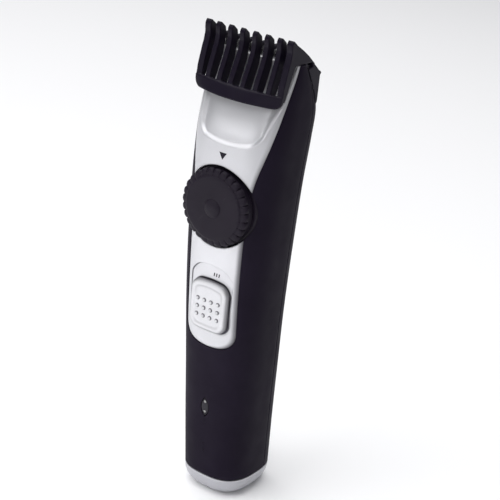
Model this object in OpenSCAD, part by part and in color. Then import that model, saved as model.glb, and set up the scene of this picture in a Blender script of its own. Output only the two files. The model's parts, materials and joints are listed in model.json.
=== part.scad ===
// Cordless hair clipper with a dial-set guide comb, a slide switch and a domed end cap.
// Millimetres, +Z up. The origin is the centre of the charging socket's mouth, in the
// plane that the clipper stands on. The dial, switch and panel face -Y.

/* [Body] */
// Height of the housing, from the standing plane to the top of the head
body_h = 176.5; // [174:0.5:179]
// Height of the seam between the housing and the end cap
cap_h = 8.2; // [7:0.1:10]
// Squareness of the cross-sections: 2 is an ellipse, more is boxier
squareness = 2.83; // [2.4:0.01:3.4]
// Wall thickness of the housing
wall = 2.2; // [1.8:0.1:2.4]
// Where the shells meet, as a part of the half depth behind the centre
seam_part = 0.36; // [0.2:0.02:0.45]

/* [Front panel] */
// Thickness of the inlaid panel
panel_t = 1.6; // [1.4:0.1:1.8]
// Height of the panel's rounded lower end
panel_low = 66; // [64:0.5:68]
// Height of the lower edge of the hollow under the comb
scoop_low = 145.2; // [144:0.1:147]

/* [Dial] */
// Height of the dial's axis
dial_z = 122.6; // [121:0.1:124]
// Radius of the dial's knurled rim
dial_r = 14.6; // [14:0.1:15]
// Number of lobes on the rim
dial_lobes = 28; // [20:1:36]
// Height of the dial from its seat to its front face
dial_h = 5.6; // [5:0.1:6]
// Number of pinion teeth
pinion_teeth = 12; // [12:1:14]
// Gear module of the pinion and rack
gear_module = 0.8; // [0.8:0.05:0.9]

/* [Switch] */
// Height of the middle of the switch button in its off position
switch_z = 83.4; // [82:0.1:85]
// Width of the switch button
button_w = 16.4; // [15:0.2:17]
// Height of the switch button
button_h = 20.2; // [18:0.2:21]
// Travel of the switch, from off up to on
switch_travel = 5; // [3:0.5:5]

/* [Comb] */
// Number of comb teeth
comb_teeth = 8; // [7:1:9]
// Distance between comb teeth
comb_pitch = 5.275; // [5:0.025:5.3]
// Thickness of a comb tooth
tooth_t = 2; // [1.2:0.1:2.4]
// Height of the comb's tips at the shortest setting
comb_top = 185.9; // [185:0.1:187]
// Travel of the comb from the shortest to the longest setting
comb_travel = 16.5; // [12:0.5:16.5]

/* [Blades] */
// Width of the fixed blade
blade_w = 32; // [28:1:33]
// Distance between the fixed blade's teeth
blade_pitch = 1.6; // [1.4:0.1:2]
// Height of the fixed blade's tips
blade_top = 180; // [179:0.1:180.1]

/* [Drive] */
// Radius of the motor can
motor_r = 7.7; // [7:0.1:8]
// Length of the motor can
motor_h = 25; // [22:1:26]
// Throw of the eccentric pin
throw = 1; // [0.6:0.1:1.2]
// Radius of the battery cell
cell_r = 7; // [6.5:0.1:7.1]
// Length of the battery cell
cell_h = 50; // [45:1:51]

/* [Charging socket] */
// Radius of the socket's bore, for a 3.5 mm plug
socket_bore_r = 1.8; // [1.75:0.05:2]
// Length of the socket's bore
socket_bore_h = 12; // [10:1:14]

/* [Hidden] */
$fn = 48;
tiny = 0.01;
gap = 0.1;                       // gap between neighbouring mouldings

// Cross-sections of the body from the end cap to the head: height, half width,
// front and back. A smooth curve runs through them.
stations = [[8, 14.4, -16, 15.9], [30, 15.3, -17.8, 14], [55, 16.2, -19.8, 12.6],
  [80, 17.2, -21.8, 11.3], [105, 18.2, -22.9, 11.1], [130, 19, -22.9, 11.8],
  [148, 19.5, -21.7, 13.4], [158, 19.7, -19.5, 13.4], [165, 19.7, -16.2, 9.3],
  [171, 19.6, -12.7, 3.8], [body_h, 19.4, -9.8, -1.8]];
// Half width of the panel above its rounded lower end
panel_line = [[75, 11.45], [90, 11.5], [105, 11.7], [118, 12], [128, 12.6], [135, 13.6],
  [142, 15.1], [148, 16.3], [156, 17.35], [165, 18], [172, 18.4], [body_h, 18.7]];
// Depth of the hollow under the comb, and half the width it leaves inside its rims
scoop_line = [[scoop_low, 1.2, 12.4], [150, 1.5, 13.4], [161, 2.8, 16.4], [168, 2.2, 17.2],
  [body_h, 0.8, 17.5]];

// ---- Curves and sections -------------------------------------------------------------

function clamp(v, lo, hi) = min(max(v, lo), hi);
function spow(v, e) = sign(v) * pow(abs(v), e);
function span(tab, z, i = 0) = i >= len(tab) - 2 || z < tab[i + 1][0] ? i : span(tab, z, i + 1);
function slope(tab, i, k) =
  let(a = max(i - 1, 0), b = min(i + 1, len(tab) - 1))
  (tab[b][k] - tab[a][k]) / (tab[b][0] - tab[a][0]);
// Value k of a table at height z, on a smooth curve through its rows
function curve(tab, z, k) =
  let(i = span(tab, z), h = tab[i + 1][0] - tab[i][0], t = clamp((z - tab[i][0]) / h, 0, 1),
    m0 = slope(tab, i, k) * h, m1 = slope(tab, i + 1, k) * h)
  (2 * t ^ 3 - 3 * t ^ 2 + 1) * tab[i][k] + (t ^ 3 - 2 * t ^ 2 + t) * m0
    + (3 * t ^ 2 - 2 * t ^ 3) * tab[i + 1][k] + (t ^ 3 - t ^ 2) * m1;

function half_w(z) = curve(stations, z, 1);
function front(z) = curve(stations, z, 2);
function back(z) = curve(stations, z, 3);
// Point of a section: w, f and b are its half width, front and back, t its angle
function section_pt(w, f, b, t, z) = [w * spow(cos(t), 2 / squareness),
  (f + b) / 2 + (b - f) / 2 * spow(sin(t), 2 / squareness), z];
function outer_pt(z, t, inset = 0) =
  section_pt(half_w(z) - inset, front(z) + inset, back(z) - inset, t, z);
// Angle from the side at which the outer surface is x from the middle plane
function edge_angle(z, x) = acos(pow(clamp(x / half_w(z), 0, 1), squareness / 2));
function surface_y(z, x) = outer_pt(z, -edge_angle(z, abs(x)))[1];

// The hollow under the comb
function scoop_e(z, x) = min(curve(scoop_line, z, 2) - abs(x),
  z - scoop_low - 2.6 * pow(abs(x) / 13, 2.5));
function scoop_d(z, x) =
  z < scoop_low ? 0 : clamp(0.55 * scoop_e(z, x), 0, curve(scoop_line, z, 1));
function scoop_max(z) = z < scoop_low ? 0
  : curve(scoop_line, z, 1) * clamp((z - scoop_low) / 4, 0, 1);

// Half width of the panel, with its rounded lower end
panel_end_h = 9;
function panel_w(z) = let(d = clamp((panel_low + panel_end_h - z) / panel_end_h, 0, 1))
  curve(panel_line, max(z, panel_line[0][0]), 1) * pow(1 - pow(d, 2.6), 1 / 2.6);

// Walls are thinner in the head, and thicker under the panel
function wall_at(z) = wall - 1.0 * clamp((z - 150) / 20, 0, 1);
function inner_pt(z, t, f_more = 0) = section_pt(half_w(z) - wall_at(z),
  front(z) + wall_at(z) + f_more, back(z) - wall_at(z), t, z);
function under_panel(z) = clamp((z - panel_low + 6) / 6, 0, 1) * panel_t + scoop_max(z);

seam_t = asin(pow(seam_part, squareness / 2));
seam_gap_t = 0.32;               // half the seam's gap, in degrees
shell_low = cap_h + 0.5;
shell_z = [shell_low, 14, 22, 32, 44, 56, 63, panel_low - 0.3, panel_low, panel_low + 0.15,
  panel_low + 0.6, panel_low + 1.6, panel_low + 3.2, panel_low + 5.6, panel_low + 9, 84, 95,
  107, 119, 131, 139, scoop_low - 0.5, scoop_low + 0.8, scoop_low + 2, scoop_low + 3.4, 151,
  154.5, 158, 161, 164, 167, 170, 173, body_h];

// ---- Solids from rings ---------------------------------------------------------------

// Triangles between neighbouring rings of n points; wrap joins the last ring to the first
function sides(rings, n, wrap = false) = [for (i = [0:rings - (wrap ? 1 : 2)], j = [0:n - 1])
  let(a = i * n + j, b = i * n + (j + 1) % n, c = ((i + 1) % rings) * n + (j + 1) % n,
    d = ((i + 1) % rings) * n + j)
  each [[a, b, c], [a, c, d]]];
// End face of a ring that runs out along one side and back along the other
function strip(base, n, below) = [for (j = [0:n / 2 - 2])
  let(a = base + j, b = base + j + 1, c = base + n - 2 - j, d = base + n - 1 - j)
  each below ? [[a, c, b], [a, d, c]] : [[a, b, c], [a, c, d]]];
function flat_list(rings) = [for (r = rings) each r];
function reverse(v) = [for (i = [len(v) - 1:-1:0]) v[i]];

// Rings are given from bottom to top, each running clockwise seen from above
module strip_loft(rings) {
  n = len(rings[0]);
  last = (len(rings) - 1) * n;
  polyhedron(flat_list(rings), concat(sides(len(rings), n), strip(0, n, true),
    strip(last, n, false)));
}
module cup_loft(rings) {
  n = len(rings[0]);
  last = (len(rings) - 1) * n;
  polyhedron(flat_list(rings), concat(sides(len(rings), n), [[for (j = [n - 1:-1:0]) j]],
    [[for (j = [0:n - 1]) last + j]]));
}
module ring_loft(rings) {
  polyhedron(flat_list(rings), sides(len(rings), len(rings[0]), true));
}
// A round bar along +Y, from y0 to y1
module y_rod(r, y0, y1, x = 0, z = 0) {
  translate([x, y0, z]) rotate([-90, 0, 0]) cylinder(r = r, h = y1 - y0);
}
// A plate lying in X and Z, between y0 and y1
module y_plate(y0, y1) {
  translate([0, y1, 0]) rotate([90, 0, 0]) linear_extrude(y1 - y0) children();
}
// A profile in Y and Z, extruded from x0 to x1
module x_plate(x0, x1) {
  translate([x0, 0, 0]) rotate([90, 0, 90]) linear_extrude(x1 - x0) children();
}
module round_rect(w, h, r) {
  square([w - 2 * r, h], center = true);
  square([w, h - 2 * r], center = true);
  for (x = [-1, 1], y = [-1, 1])
    translate([x * (w / 2 - r), y * (h / 2 - r)]) circle(r = r);
}
module block(x0, x1, y0, y1, z0, z1) {
  translate([x0, y0, z0]) cube([x1 - x0, y1 - y0, z1 - z0]);
}

// ---- Casings -------------------------------------------------------------------------

side_n = 9;                      // divisions of a shell between its seam and the panel
panel_n = 12;                    // divisions across the panel
function panel_t_edge(z) = edge_angle(z, max(panel_w(z), 0.5));
function step(a, b, n, j) = a + (b - a) * j / n;
function pocket(z, x) = (z < panel_low - tiny ? 0 : panel_t + gap) + scoop_d(z, x);
function pocket_pt(z, t) = let(p = outer_pt(z, t)) p + [0, pocket(z, p[0]), 0];
function front_angles(z, s) = let(e = panel_t_edge(z)) [
  [for (j = [0:side_n]) step(s, -e, side_n, j)],
  [for (j = [0:panel_n]) step(-e - 1, -179 + e, panel_n, j)],
  [for (j = [0:side_n]) step(-180 + e, -180 - s, side_n, j)]];
function front_ring(z) = let(a = front_angles(z, seam_t - seam_gap_t)) concat(
  [for (t = a[0]) outer_pt(z, t)],
  [for (t = a[1]) pocket_pt(z, t)],
  [for (t = a[2]) outer_pt(z, t)],
  reverse([for (part = a, t = part) inner_pt(z, t, under_panel(z))]));

dial_seat_r = 15.2;
dial_seat_y = -19.9;
seat_back_y = -17.5;
window_w = 33;                   // opening behind the panel, in front of the blades
window_z = 161;
stem_w = 7;                      // switch stem
stem_h = 8;
slider_slot_h = stem_h + switch_travel + 0.8;
led_z = 39.2;
led_h = 8.4;
led_w = 3.8;

// Pointed oval of the charge light
module led_outline(more = 0) {
  r = (pow(led_h / 2, 2) + pow(led_w / 2, 2)) / led_w;
  intersection_for(s = [-1, 1])
    translate([s * (r - led_w / 2), 0]) circle(r = r + more, $fn = 96);
}

module front_housing() color("#26212b") difference() {
  strip_loft([for (z = shell_z) front_ring(z)]);
  y_rod(dial_seat_r + gap, -40, seat_back_y, z = dial_z);
  y_plate(-40, -10) translate([0, switch_z + switch_travel / 2])
    round_rect(stem_w + 0.8, slider_slot_h, 1);
  y_plate(-40, -10) translate([0, led_z]) led_outline(gap);
  block(-window_w / 2, window_w / 2, -40, -5, window_z, body_h + 1);
}

rear_n = 20;
arm_slot_x = [9.2, 11.6];
arm_slot_y = [3.4, 7];
screw_z = [17, 82];
function rear_ring(z) = let(s = seam_t + seam_gap_t) concat(
  [for (j = [0:rear_n]) outer_pt(z, step(180 - s, s, rear_n, j))],
  reverse([for (j = [0:rear_n]) inner_pt(z, step(180 - s, s, rear_n, j), under_panel(z))]));
module rear_housing() color("#241f29") difference() {
  strip_loft([for (z = shell_z) rear_ring(z)]);
  for (m = [0, 1]) mirror([m, 0, 0])
    block(arm_slot_x[0], arm_slot_x[1], arm_slot_y[0], arm_slot_y[1], 158, body_h + 1);
  for (z = screw_z) {
    y_rod(1.2, 5, 30, z = z);
    y_rod(2.6, back(z) - 1.2, 30, z = z);
  }
}

button_y = -23.4;                // front face of the switch button
pocket_floor_y = -21.1;          // floor of the panel's pocket for the button
pocket_low = switch_z - button_h / 2 - 0.4;
pocket_high = switch_z + button_h / 2 + switch_travel + 0.4;
function panel_ring(z) =
  let(e = edge_angle(z, max(panel_w(z) - 0.18, 0.4)), s = 1.4)
  concat(
    [for (j = [0:panel_n]) let(p = outer_pt(z, step(-e, -180 + e, panel_n, j)))
      p + [0, scoop_d(z, p[0]), 0]],
    reverse([for (j = [0:panel_n]) let(p = outer_pt(z, step(-e - s, -180 + e + s, panel_n, j)))
      p + [0, scoop_d(z, p[0]) + panel_t, 0]]));
module panel_part(z0, z1) difference() {
  strip_loft([for (z = shell_z) if (z > z0 && z < z1) panel_ring(z)]);
  y_rod(dial_seat_r + gap, -40, -5, z = dial_z);
}
module upper_panel() color("#dcdce2") difference() {
  panel_part(118, body_h + 1);
  block(-window_w / 2, window_w / 2, fixed_y[0] - gap, 0, 150, body_h + 1);
}
module lower_panel() color("#dcdce2") difference() {
  panel_part(panel_low + tiny, 120);
  y_plate(-40, pocket_floor_y) translate([0, (pocket_low + pocket_high) / 2])
    round_rect(button_w + 0.8, pocket_high - pocket_low, 4);
  y_plate(-40, -10) translate([0, switch_z + switch_travel / 2])
    round_rect(stem_w + 0.8, slider_slot_h, 1);
}

// The cap is a cup: its outside runs from the flat foot up to the rim
cap_n = 40;
foot_part = 0.5;                 // size of the flat foot, as a part of the section
cap_rows = 7;
function cap_scale(u) = foot_part + (1 - foot_part) * pow(1 - pow(1 - u, 2.2), 1 / 2.2);
function cap_ring(z, k, inset = 0) = [for (j = [0:cap_n - 1])
  let(f = front(8) + inset, b = back(8) - inset, c = (f + b) / 2, r = (b - f) / 2,
    foot_c = c * (k - foot_part) / (1 - foot_part))
  section_pt((half_w(8) - inset) * k, foot_c - r * k, foot_c + r * k, -360 * j / cap_n, z)];
module end_cap() color("#b4b3ba") difference() {
  cup_loft(concat(
    [for (i = [0:cap_rows]) let(u = i / cap_rows) cap_ring(cap_h * u * u, cap_scale(u * u))],
    [cap_ring(cap_h, 1, 1.6), cap_ring(4, 0.88, 1.6), cap_ring(2.6, 0.66, 1.6)]));
  translate([0, 0, -1]) cylinder(r = socket_nose_r + gap, h = 5);
}

module cap_gasket() color("#101012") ring_loft([for (v = [[0.35, 0], [0.35, 0.4], [1.5, 0.4],
  [1.5, 0]]) cap_ring(cap_h + 0.05 + v[1], 1, v[0])]);

module led_lens() color("#8f8f98") y_plate(-18.75, -15.4) translate([0, led_z]) led_outline();
module status_led() color("#e8efe0") block(-1, 1, -15.2, -13.25, led_z - 1.5, led_z + 1.5);

// ---- Electrics -----------------------------------------------------------------------

board_y = [-13.2, -11.6];
board_z = [30, 95.5];
board_w = 17;
module circuit_board() color("#2f6b46")
  block(-board_w / 2, board_w / 2, board_y[0], board_y[1], board_z[0], board_z[1]);
module charge_controller() color("#1c1c1f") {
  block(-3, 3, board_y[0] - 1.4, board_y[0], 50, 56);
  block(-5.5, -2.5, board_y[0] - 1, board_y[0], 62, 65);
  block(2.5, 5.5, board_y[0] - 1, board_y[0], 60, 66);
}

socket_nose_r = 3.1;
module charging_socket() color("#161618") difference() {
  union() {
    cylinder(r = socket_nose_r, h = 5);
    translate([0, 0, 5]) cylinder(r = 4.2, h = socket_bore_h - 2);
  }
  translate([0, 0, -tiny]) cylinder(r = socket_bore_r, h = socket_bore_h + tiny);
}

cell_y = -1.2;
cell_z = 20;
module battery() color("#3f6fb0") translate([0, cell_y, cell_z]) {
  cylinder(r = cell_r, h = cell_h);
  translate([0, 0, cell_h]) cylinder(r = 2.6, h = 0.8);
}
module battery_contacts() color("#c9c9c4") {
  top = cell_z + cell_h + 0.8;
  block(-2, 2, board_y[1], cell_y + 2, top, top + 0.4);
  block(-2, 2, -10.2, cell_y + 2, cell_z - 0.4, cell_z);
  block(-2, 2, -10.6, -10.2, cell_z - 0.4, board_z[0] + 3);
  block(-2, 2, board_y[1], -10.2, board_z[0] + 2.6, board_z[0] + 3);
}

// ---- Inner frame and motor -----------------------------------------------------------

spine_y = [6.1, 7.5];
motor_z = 116;
motor_y = -2;
motor_top = motor_z + motor_h;
mount_t = 1.5;
mount_screw_x = 5;
// Spine behind the battery and motor, with end stops and screw bosses
module inner_chassis() color("#3a3a40") {
  difference() {
    union() {
      block(-5, 5, spine_y[0], spine_y[1], 15.4, motor_top + 8);
      for (z = screw_z) y_rod(2.4, z < 50 ? spine_y[0] - 1 : 3, back(z) - wall - 0.2, z = z);
    }
    for (z = screw_z) y_rod(0.9, 0, 30, z = z);
  }
  block(-5, 5, -6, spine_y[0], cell_z + cell_h + 1.4, cell_z + cell_h + 2.8);
  block(-5, 5, -4, spine_y[0], motor_z - 3, motor_z - 1.6);
}
module housing_screws() color("#9a9a9e") for (z = screw_z) {
  y_rod(2.4, back(z) - 1.1, back(z) - 0.1, z = z);
  y_rod(0.88, spine_y[0] - 0.6, back(z) - 1.1, z = z);
}

module motor_can() color("#b9bcc2") translate([0, motor_y, motor_z]) difference() {
  cylinder(r = motor_r, h = motor_h);
  translate([0, 0, -tiny]) cylinder(r = motor_r - 0.6, h = motor_h - 1);
  cylinder(r = 2, h = motor_h + 1);
  for (x = [-1, 1]) translate([x * mount_screw_x, 0, motor_h - 2]) cylinder(r = 0.85, h = 4);
}
module motor_end_bell() color("#e6e3da") translate([0, motor_y, motor_z - 1.2]) difference() {
  union() {
    cylinder(r = motor_r - 0.3, h = 1.2);
    translate([0, 0, 1.2]) cylinder(r = motor_r - 0.7, h = 2);
  }
  translate([0, 0, 1]) cylinder(r = 1.1, h = 5);
}
module motor_magnets() color("#4b4b50") translate([0, motor_y, motor_z + 4]) difference() {
  cylinder(r = motor_r - 0.7, h = motor_h - 7);
  translate([0, 0, -1]) cylinder(r = motor_r - 2.1, h = motor_h);
  for (a = [-1, 1]) translate([-10, a * 5.2 - 2, -1]) cube([20, 4, motor_h]);
}
module motor_mount() color("#c4c6ca") difference() {
  union() {
    block(-8, 8, motor_y - 6.5, spine_y[0] - 0.1, motor_top + 0.05, motor_top + mount_t);
    block(-5, 5, spine_y[0] - 1.2, spine_y[0] - 0.1, motor_top + mount_t, motor_top + 8);
  }
  translate([0, motor_y, motor_top - 1]) cylinder(r = 3, h = 5);
  for (x = [-1, 1]) translate([x * mount_screw_x, motor_y, motor_top - 1])
    cylinder(r = 0.85, h = 5);
}
module motor_mount_screws() color("#8c8c90") for (x = [-1, 1])
  translate([x * mount_screw_x, motor_y, motor_top + mount_t]) {
    cylinder(r = 1.5, h = 0.9);
    translate([0, 0, -2]) cylinder(r = 0.8, h = 2);
  }
// Two leads from the board to the motor's end bell
module motor_leads() for (x = [-1, 1]) color(x > 0 ? "#b02a2a" : "#202024") {
  low = [x * 5, board_y[1] + 0.5, board_z[1] - 3];
  high = [x * 4, motor_y - 3, motor_z - 1.7];
  along = high - low;
  translate(low) rotate([0, acos(along[2] / norm(along)), atan2(along[1], along[0])])
    cylinder(r = 0.5, h = norm(along));
}

module motor_armature() color("#a8744a") translate([0, motor_y, motor_z + 5])
  difference() {
    cylinder(r = motor_r - 2.4, h = motor_h - 9);
    translate([0, 0, -1]) cylinder(r = 1, h = motor_h);
  }
pin_z = motor_top + 10;
pin_r = 0.9;
module motor_shaft() color("#c8c8cc") translate([0, motor_y, motor_z]) cylinder(r = 1, h = 34);
module eccentric() color("#e8e6e0") translate([0, motor_y, motor_top + 4]) {
  difference() {
    cylinder(r = 3.2, h = 6);
    translate([0, 0, -tiny]) cylinder(r = 1, h = 6 + 1);
  }
  translate([0, throw, 6]) cylinder(r = pin_r, h = 4);
}

// ---- Blades --------------------------------------------------------------------------

fixed_y = [-7.2, -6.2];
moving_y = [-6.12, -5.4];
blade_low = 160;
blade_tooth_h = 3.4;
moving_w = 25.4;
moving_top = blade_top - 0.7;
// Comb edge of a blade: teeth along X with tips at the given height
module blade_outline(w, low, top) {
  n = floor(w / blade_pitch);
  translate([-w / 2, low]) square([w, top - blade_tooth_h - low]);
  for (i = [0:n - 1]) translate([(i - (n - 1) / 2) * blade_pitch, top - blade_tooth_h])
    polygon([[-0.52, -1], [0.52, -1], [0.5, 0], [0.22, blade_tooth_h], [-0.22, blade_tooth_h],
      [-0.5, 0]]);
}
blade_screw_x = 13.6;
blade_screw_z = 163;
module fixed_blade() color("#c9ccd1") difference() {
  y_plate(fixed_y[0], fixed_y[1]) blade_outline(blade_w, blade_low, blade_top);
  for (x = [-1, 1]) y_rod(1.05, -10, 0, x * blade_screw_x, blade_screw_z);
}
module moving_blade() color("#b9bcc2")
  y_plate(moving_y[0], moving_y[1]) blade_outline(moving_w, 167, moving_top);

// Slotted follower that turns the eccentric's circle into the blade's side-to-side stroke.
// The slot is wide enough for the pin's whole circle.
slot_half = throw + pin_r + 0.15;
module blade_yoke() color("#e9e7e1") difference() {
  union() {
    block(-4.4, 4.4, motor_y - 3.6, motor_y + 3.6, pin_z + 0.4, pin_z + 5.6);
    x_plate(-3, 3) polygon([[motor_y - 3.6, pin_z + 2], [moving_y[1], pin_z + 9],
      [moving_y[1], 174], [moving_y[1] + 0.9, 174], [moving_y[1] + 0.9, pin_z + 12],
      [motor_y + 2, pin_z + 5]]);
  }
  block(-slot_half, slot_half, motor_y - slot_half, motor_y + slot_half, pin_z, pin_z + 4.4);
}

carrier_x = 15.2;
module blade_carrier() color("#2b2b30") difference() {
  union() {
    block(-carrier_x, carrier_x, -8.6, moving_y[1] - 0.6, 155, 159.9);
    block(-carrier_x, carrier_x, -4, -3.2, 171, 176.2);
    for (m = [0, 1]) mirror([m, 0, 0]) {
      block(12, carrier_x, moving_y[1] - 0.7, -3.2, 155, 159.9);
      block(12, carrier_x, fixed_y[1] + 0.02, -3.2, 159.8, 166);
      block(13.9, carrier_x, fixed_y[1] + 0.02, -3.2, 165.9, 174);
    }
  }
  for (x = [-1, 1]) y_rod(0.8, -10, -4.5, x * blade_screw_x, blade_screw_z);
}
module blade_screws() color("#8c8c90") for (x = [-1, 1]) {
  y_rod(1.5, fixed_y[0] - 0.8, fixed_y[0], x * blade_screw_x, blade_screw_z);
  y_rod(0.78, fixed_y[0], -4.8, x * blade_screw_x, blade_screw_z);
}
// Two sprung wires that press the moving blade against the fixed one
module blade_spring() color("#9ea2a8") for (x = [-1, 1]) translate([x * 8.5, 0, 0]) {
  translate([0, moving_y[1] + 0.5, 168]) cylinder(r = 0.4, h = 6.2);
  translate([0, moving_y[1] + 0.5, 174.2]) sphere(r = 0.4, $fn = 16);
  translate([0, moving_y[1] + 0.5, 173.8]) rotate([-90, 0, 0]) cylinder(r = 0.35, h = 0.85);
}

// ---- Dial ----------------------------------------------------------------------------

hub_r = 4;
hub_back_y = -14.9;
pinion_y = [-14.85, -12.2];
dial_front_y = dial_seat_y - gap - dial_h;
module dial_seat() color("#1f1b24") difference() {
  union() {
    y_rod(dial_seat_r, dial_seat_y, seat_back_y, z = dial_z);
    y_rod(hub_r + 1.6, seat_back_y - tiny, hub_back_y - 0.3, z = dial_z);
  }
  y_rod(hub_r + 0.06, -40, 0, z = dial_z);
}
// Bent leaf that clicks against the dial's hub
module detent_spring() color("#b6b9be") {
  block(-7.5, -6.9, seat_back_y + 0.1, seat_back_y + 2, dial_z - 5, dial_z + 5);
  block(-7, -6.3, seat_back_y + 0.1, seat_back_y + 2, dial_z - 0.7, dial_z + 0.7);
}

face_r = 12;                     // flat part of the dial's face
cap_seat_r = 3.7;
module zoom_dial() color("#2a2530") difference() {
  translate([0, dial_seat_y - gap, dial_z]) rotate([90, 0, 0]) {
    rotate_extrude($fn = 96) polygon([[0, 0], [14.4, 0], [dial_r, 0.3], [dial_r, dial_h - 1.5],
      [dial_r - 0.6, dial_h - 0.7], [face_r, dial_h], [0, dial_h]]);
    translate([0, 0, dial_seat_y - gap - hub_back_y]) cylinder(r = hub_r, h = 6);
  }
  for (i = [0:dial_lobes - 1]) let(a = 360 * i / dial_lobes)
    y_rod(0.75, dial_front_y - 1, dial_front_y + 2.6, (dial_r + 0.1) * cos(a),
      dial_z + (dial_r + 0.1) * sin(a), $fn = 16);
  y_rod(cap_seat_r + 0.05, dial_front_y - 1, dial_front_y + 1.6, z = dial_z);
  y_rod(1.05, -40, 0, z = dial_z);
}
module dial_cap() color("#2f2a35") translate([0, dial_front_y + 0.4, dial_z]) rotate([90, 0, 0])
  rotate_extrude() {
    r = 6.2;
    intersection() {
      translate([0, 1.6 - r]) circle(r = r, $fn = 96);
      square([cap_seat_r, 3]);
    }
  }
module dial_screw() color("#9a9a9e") {
  y_rod(2.6, dial_front_y + 0.5, dial_front_y + 1.55, z = dial_z);
  y_rod(1, dial_front_y + 1.5, pinion_y[1] - 0.1, z = dial_z);
}

pitch_r = gear_module * pinion_teeth / 2;
pressure = 25;
backlash = 0.12;
base_r = pitch_r * cos(pressure);
// Half the angle that a pinion tooth fills at radius r, with involute flanks
function inv(a) = tan(a) * 180 / PI - a;
function tooth_half(r) = (PI * gear_module - 2 * backlash) / 4 / pitch_r * 180 / PI
  + inv(pressure) - (r > base_r ? inv(acos(base_r / r)) : 0);
flank_r = [pitch_r - 1.05 * gear_module, base_r, pitch_r - 0.2, pitch_r + 0.3,
  pitch_r + gear_module];
module pinion() color("#e6dfc8") difference() {
  y_plate(pinion_y[0], pinion_y[1]) translate([0, dial_z]) polygon(
    [for (i = [0:pinion_teeth - 1], s = [-1, 1], r = s < 0 ? flank_r : reverse(flank_r))
      let(a = 360 * i / pinion_teeth + s * tooth_half(r)) [r * cos(a), r * sin(a)]]);
  y_rod(1.06, -40, 0, z = dial_z);
}

// ---- Comb and its carriage -----------------------------------------------------------

rack_pitch = PI * gear_module;
plate_y = [-14.6, -12.5];
plate_w = 23;
arm_x = [11.6, 13.3];
carriage_low = dial_z - comb_travel - 9;
carriage_high = dial_z + 9.6;
module comb_carriage() color("#d9d6cc") {
  y_plate(plate_y[0], plate_y[1]) {
    difference() {
      translate([-plate_w / 2, carriage_low]) square([plate_w, carriage_high - carriage_low]);
      translate([-7.4, carriage_low + 2.4])
        square([7.4 + pitch_r + 1.1 * gear_module, carriage_high - carriage_low - 5]);
    }
    for (i = [-8:1]) translate([pitch_r, dial_z + (i + 0.5) * rack_pitch]) let(
      h = (rack_pitch - 2 * backlash) / 4, t = tan(pressure) * gear_module)
      polygon([[1.2 * gear_module, h + 1.2 * t], [-gear_module, h - t], [-gear_module, t - h],
        [1.2 * gear_module, -h - 1.2 * t]]);
  }
  for (m = [0, 1]) mirror([m, 0, 0]) {
    block(9.6, plate_w / 2, plate_y[1] - tiny, 1.4, carriage_high - 8, carriage_high);
    block(9.6, arm_x[1], -0.6, 2.4, carriage_high - 8, carriage_high);
    block(arm_x[0], arm_x[1], -0.6, 4.6, carriage_high - 8, 149);
    block(arm_x[0] - 0.25, arm_x[0] + 0.2, 3.8, 4.6, 141, 143);
  }
}

comb_half = (comb_teeth - 1) / 2 * comb_pitch;
comb_edge = 18.9;                // outer faces of the two end teeth
end_tooth_t = 2.5;
bar_z = [162.1, 166.4];
bar_bow = [4.4, 2];              // how far the bar's lower and upper edges bow forward
bar_t = 1.5;
// Front edge of a tooth from the bar up to its tip: y, z
tooth_front = [[-16.85, 165.5], [-16.4, 169.8], [-15.9, 172], [-15.35, 174.1], [-14.85, 176.2],
  [-14.2, 178.3], [-13.8, 180.4], [-13.7, 181.6], [-13.95, 183.2], [-14, 184.4], [-13.7, 185.2],
  [-13.2, comb_top - 0.1], [-12.9, comb_top]];
function bow(x) = 1 - pow(clamp(abs(x) / comb_edge, 0, 1), 2);
function lean(x, z) = bar_bow[1] * bow(x) * pow(clamp((178 - z) / 12, 0, 1.2), 1.5);
function front_edge(x) = [for (p = tooth_front) [p[0] - lean(x, p[1]), p[1]]];
function slope_top() = [[-11, 184.45], [-10.5, 184.1]];
shoulder_top = [[-6.3, 181.65], [-2.8, 179.3], [1.3, 176.05]];
inner_back = [[-9.9, 180.2], [-10.6, 174.3], [-12.1, 170.3], [-13.1, 167.6], [-14.5, 164.5]];
tooth_back = [[-10.6, 180.2], [-11.4, 174.3], [-12.9, 170.3], [-13.8, 167.6], [-15, 164.5]];
// An inner tooth: a blade in front, and a low rib back over the cutting blades
function inner_tooth(x) = concat(front_edge(x), slope_top(),
  [[-10.15, 182.9], [-9.9, 181.9], [-9.3, 181.65]], shoulder_top,
  [[0.3, 175.2], [-3.1, 177.9], [-4.6, 179.4], [-5.1, 180.45], [-8.6, 180.45]], inner_back);
// An end tooth is solid down to the top of the housing
function end_tooth(x) = concat(front_edge(x), slope_top(), shoulder_top,
  [[0.35, 175.25], [-0.3, body_h + 0.2], [-10.3, body_h + 0.2], [-10.8, body_h - 0.3]],
  [for (i = [1:len(tooth_back) - 1]) tooth_back[i]]);
module teeth() {
  for (i = [1:comb_teeth - 2]) let(x = i * comb_pitch - comb_half)
    x_plate(x - tooth_t / 2, x + tooth_t / 2) polygon(inner_tooth(x));
  for (m = [0, 1]) mirror([m, 0, 0])
    x_plate(comb_edge - end_tooth_t, comb_edge) polygon(end_tooth(comb_edge));
}
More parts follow.
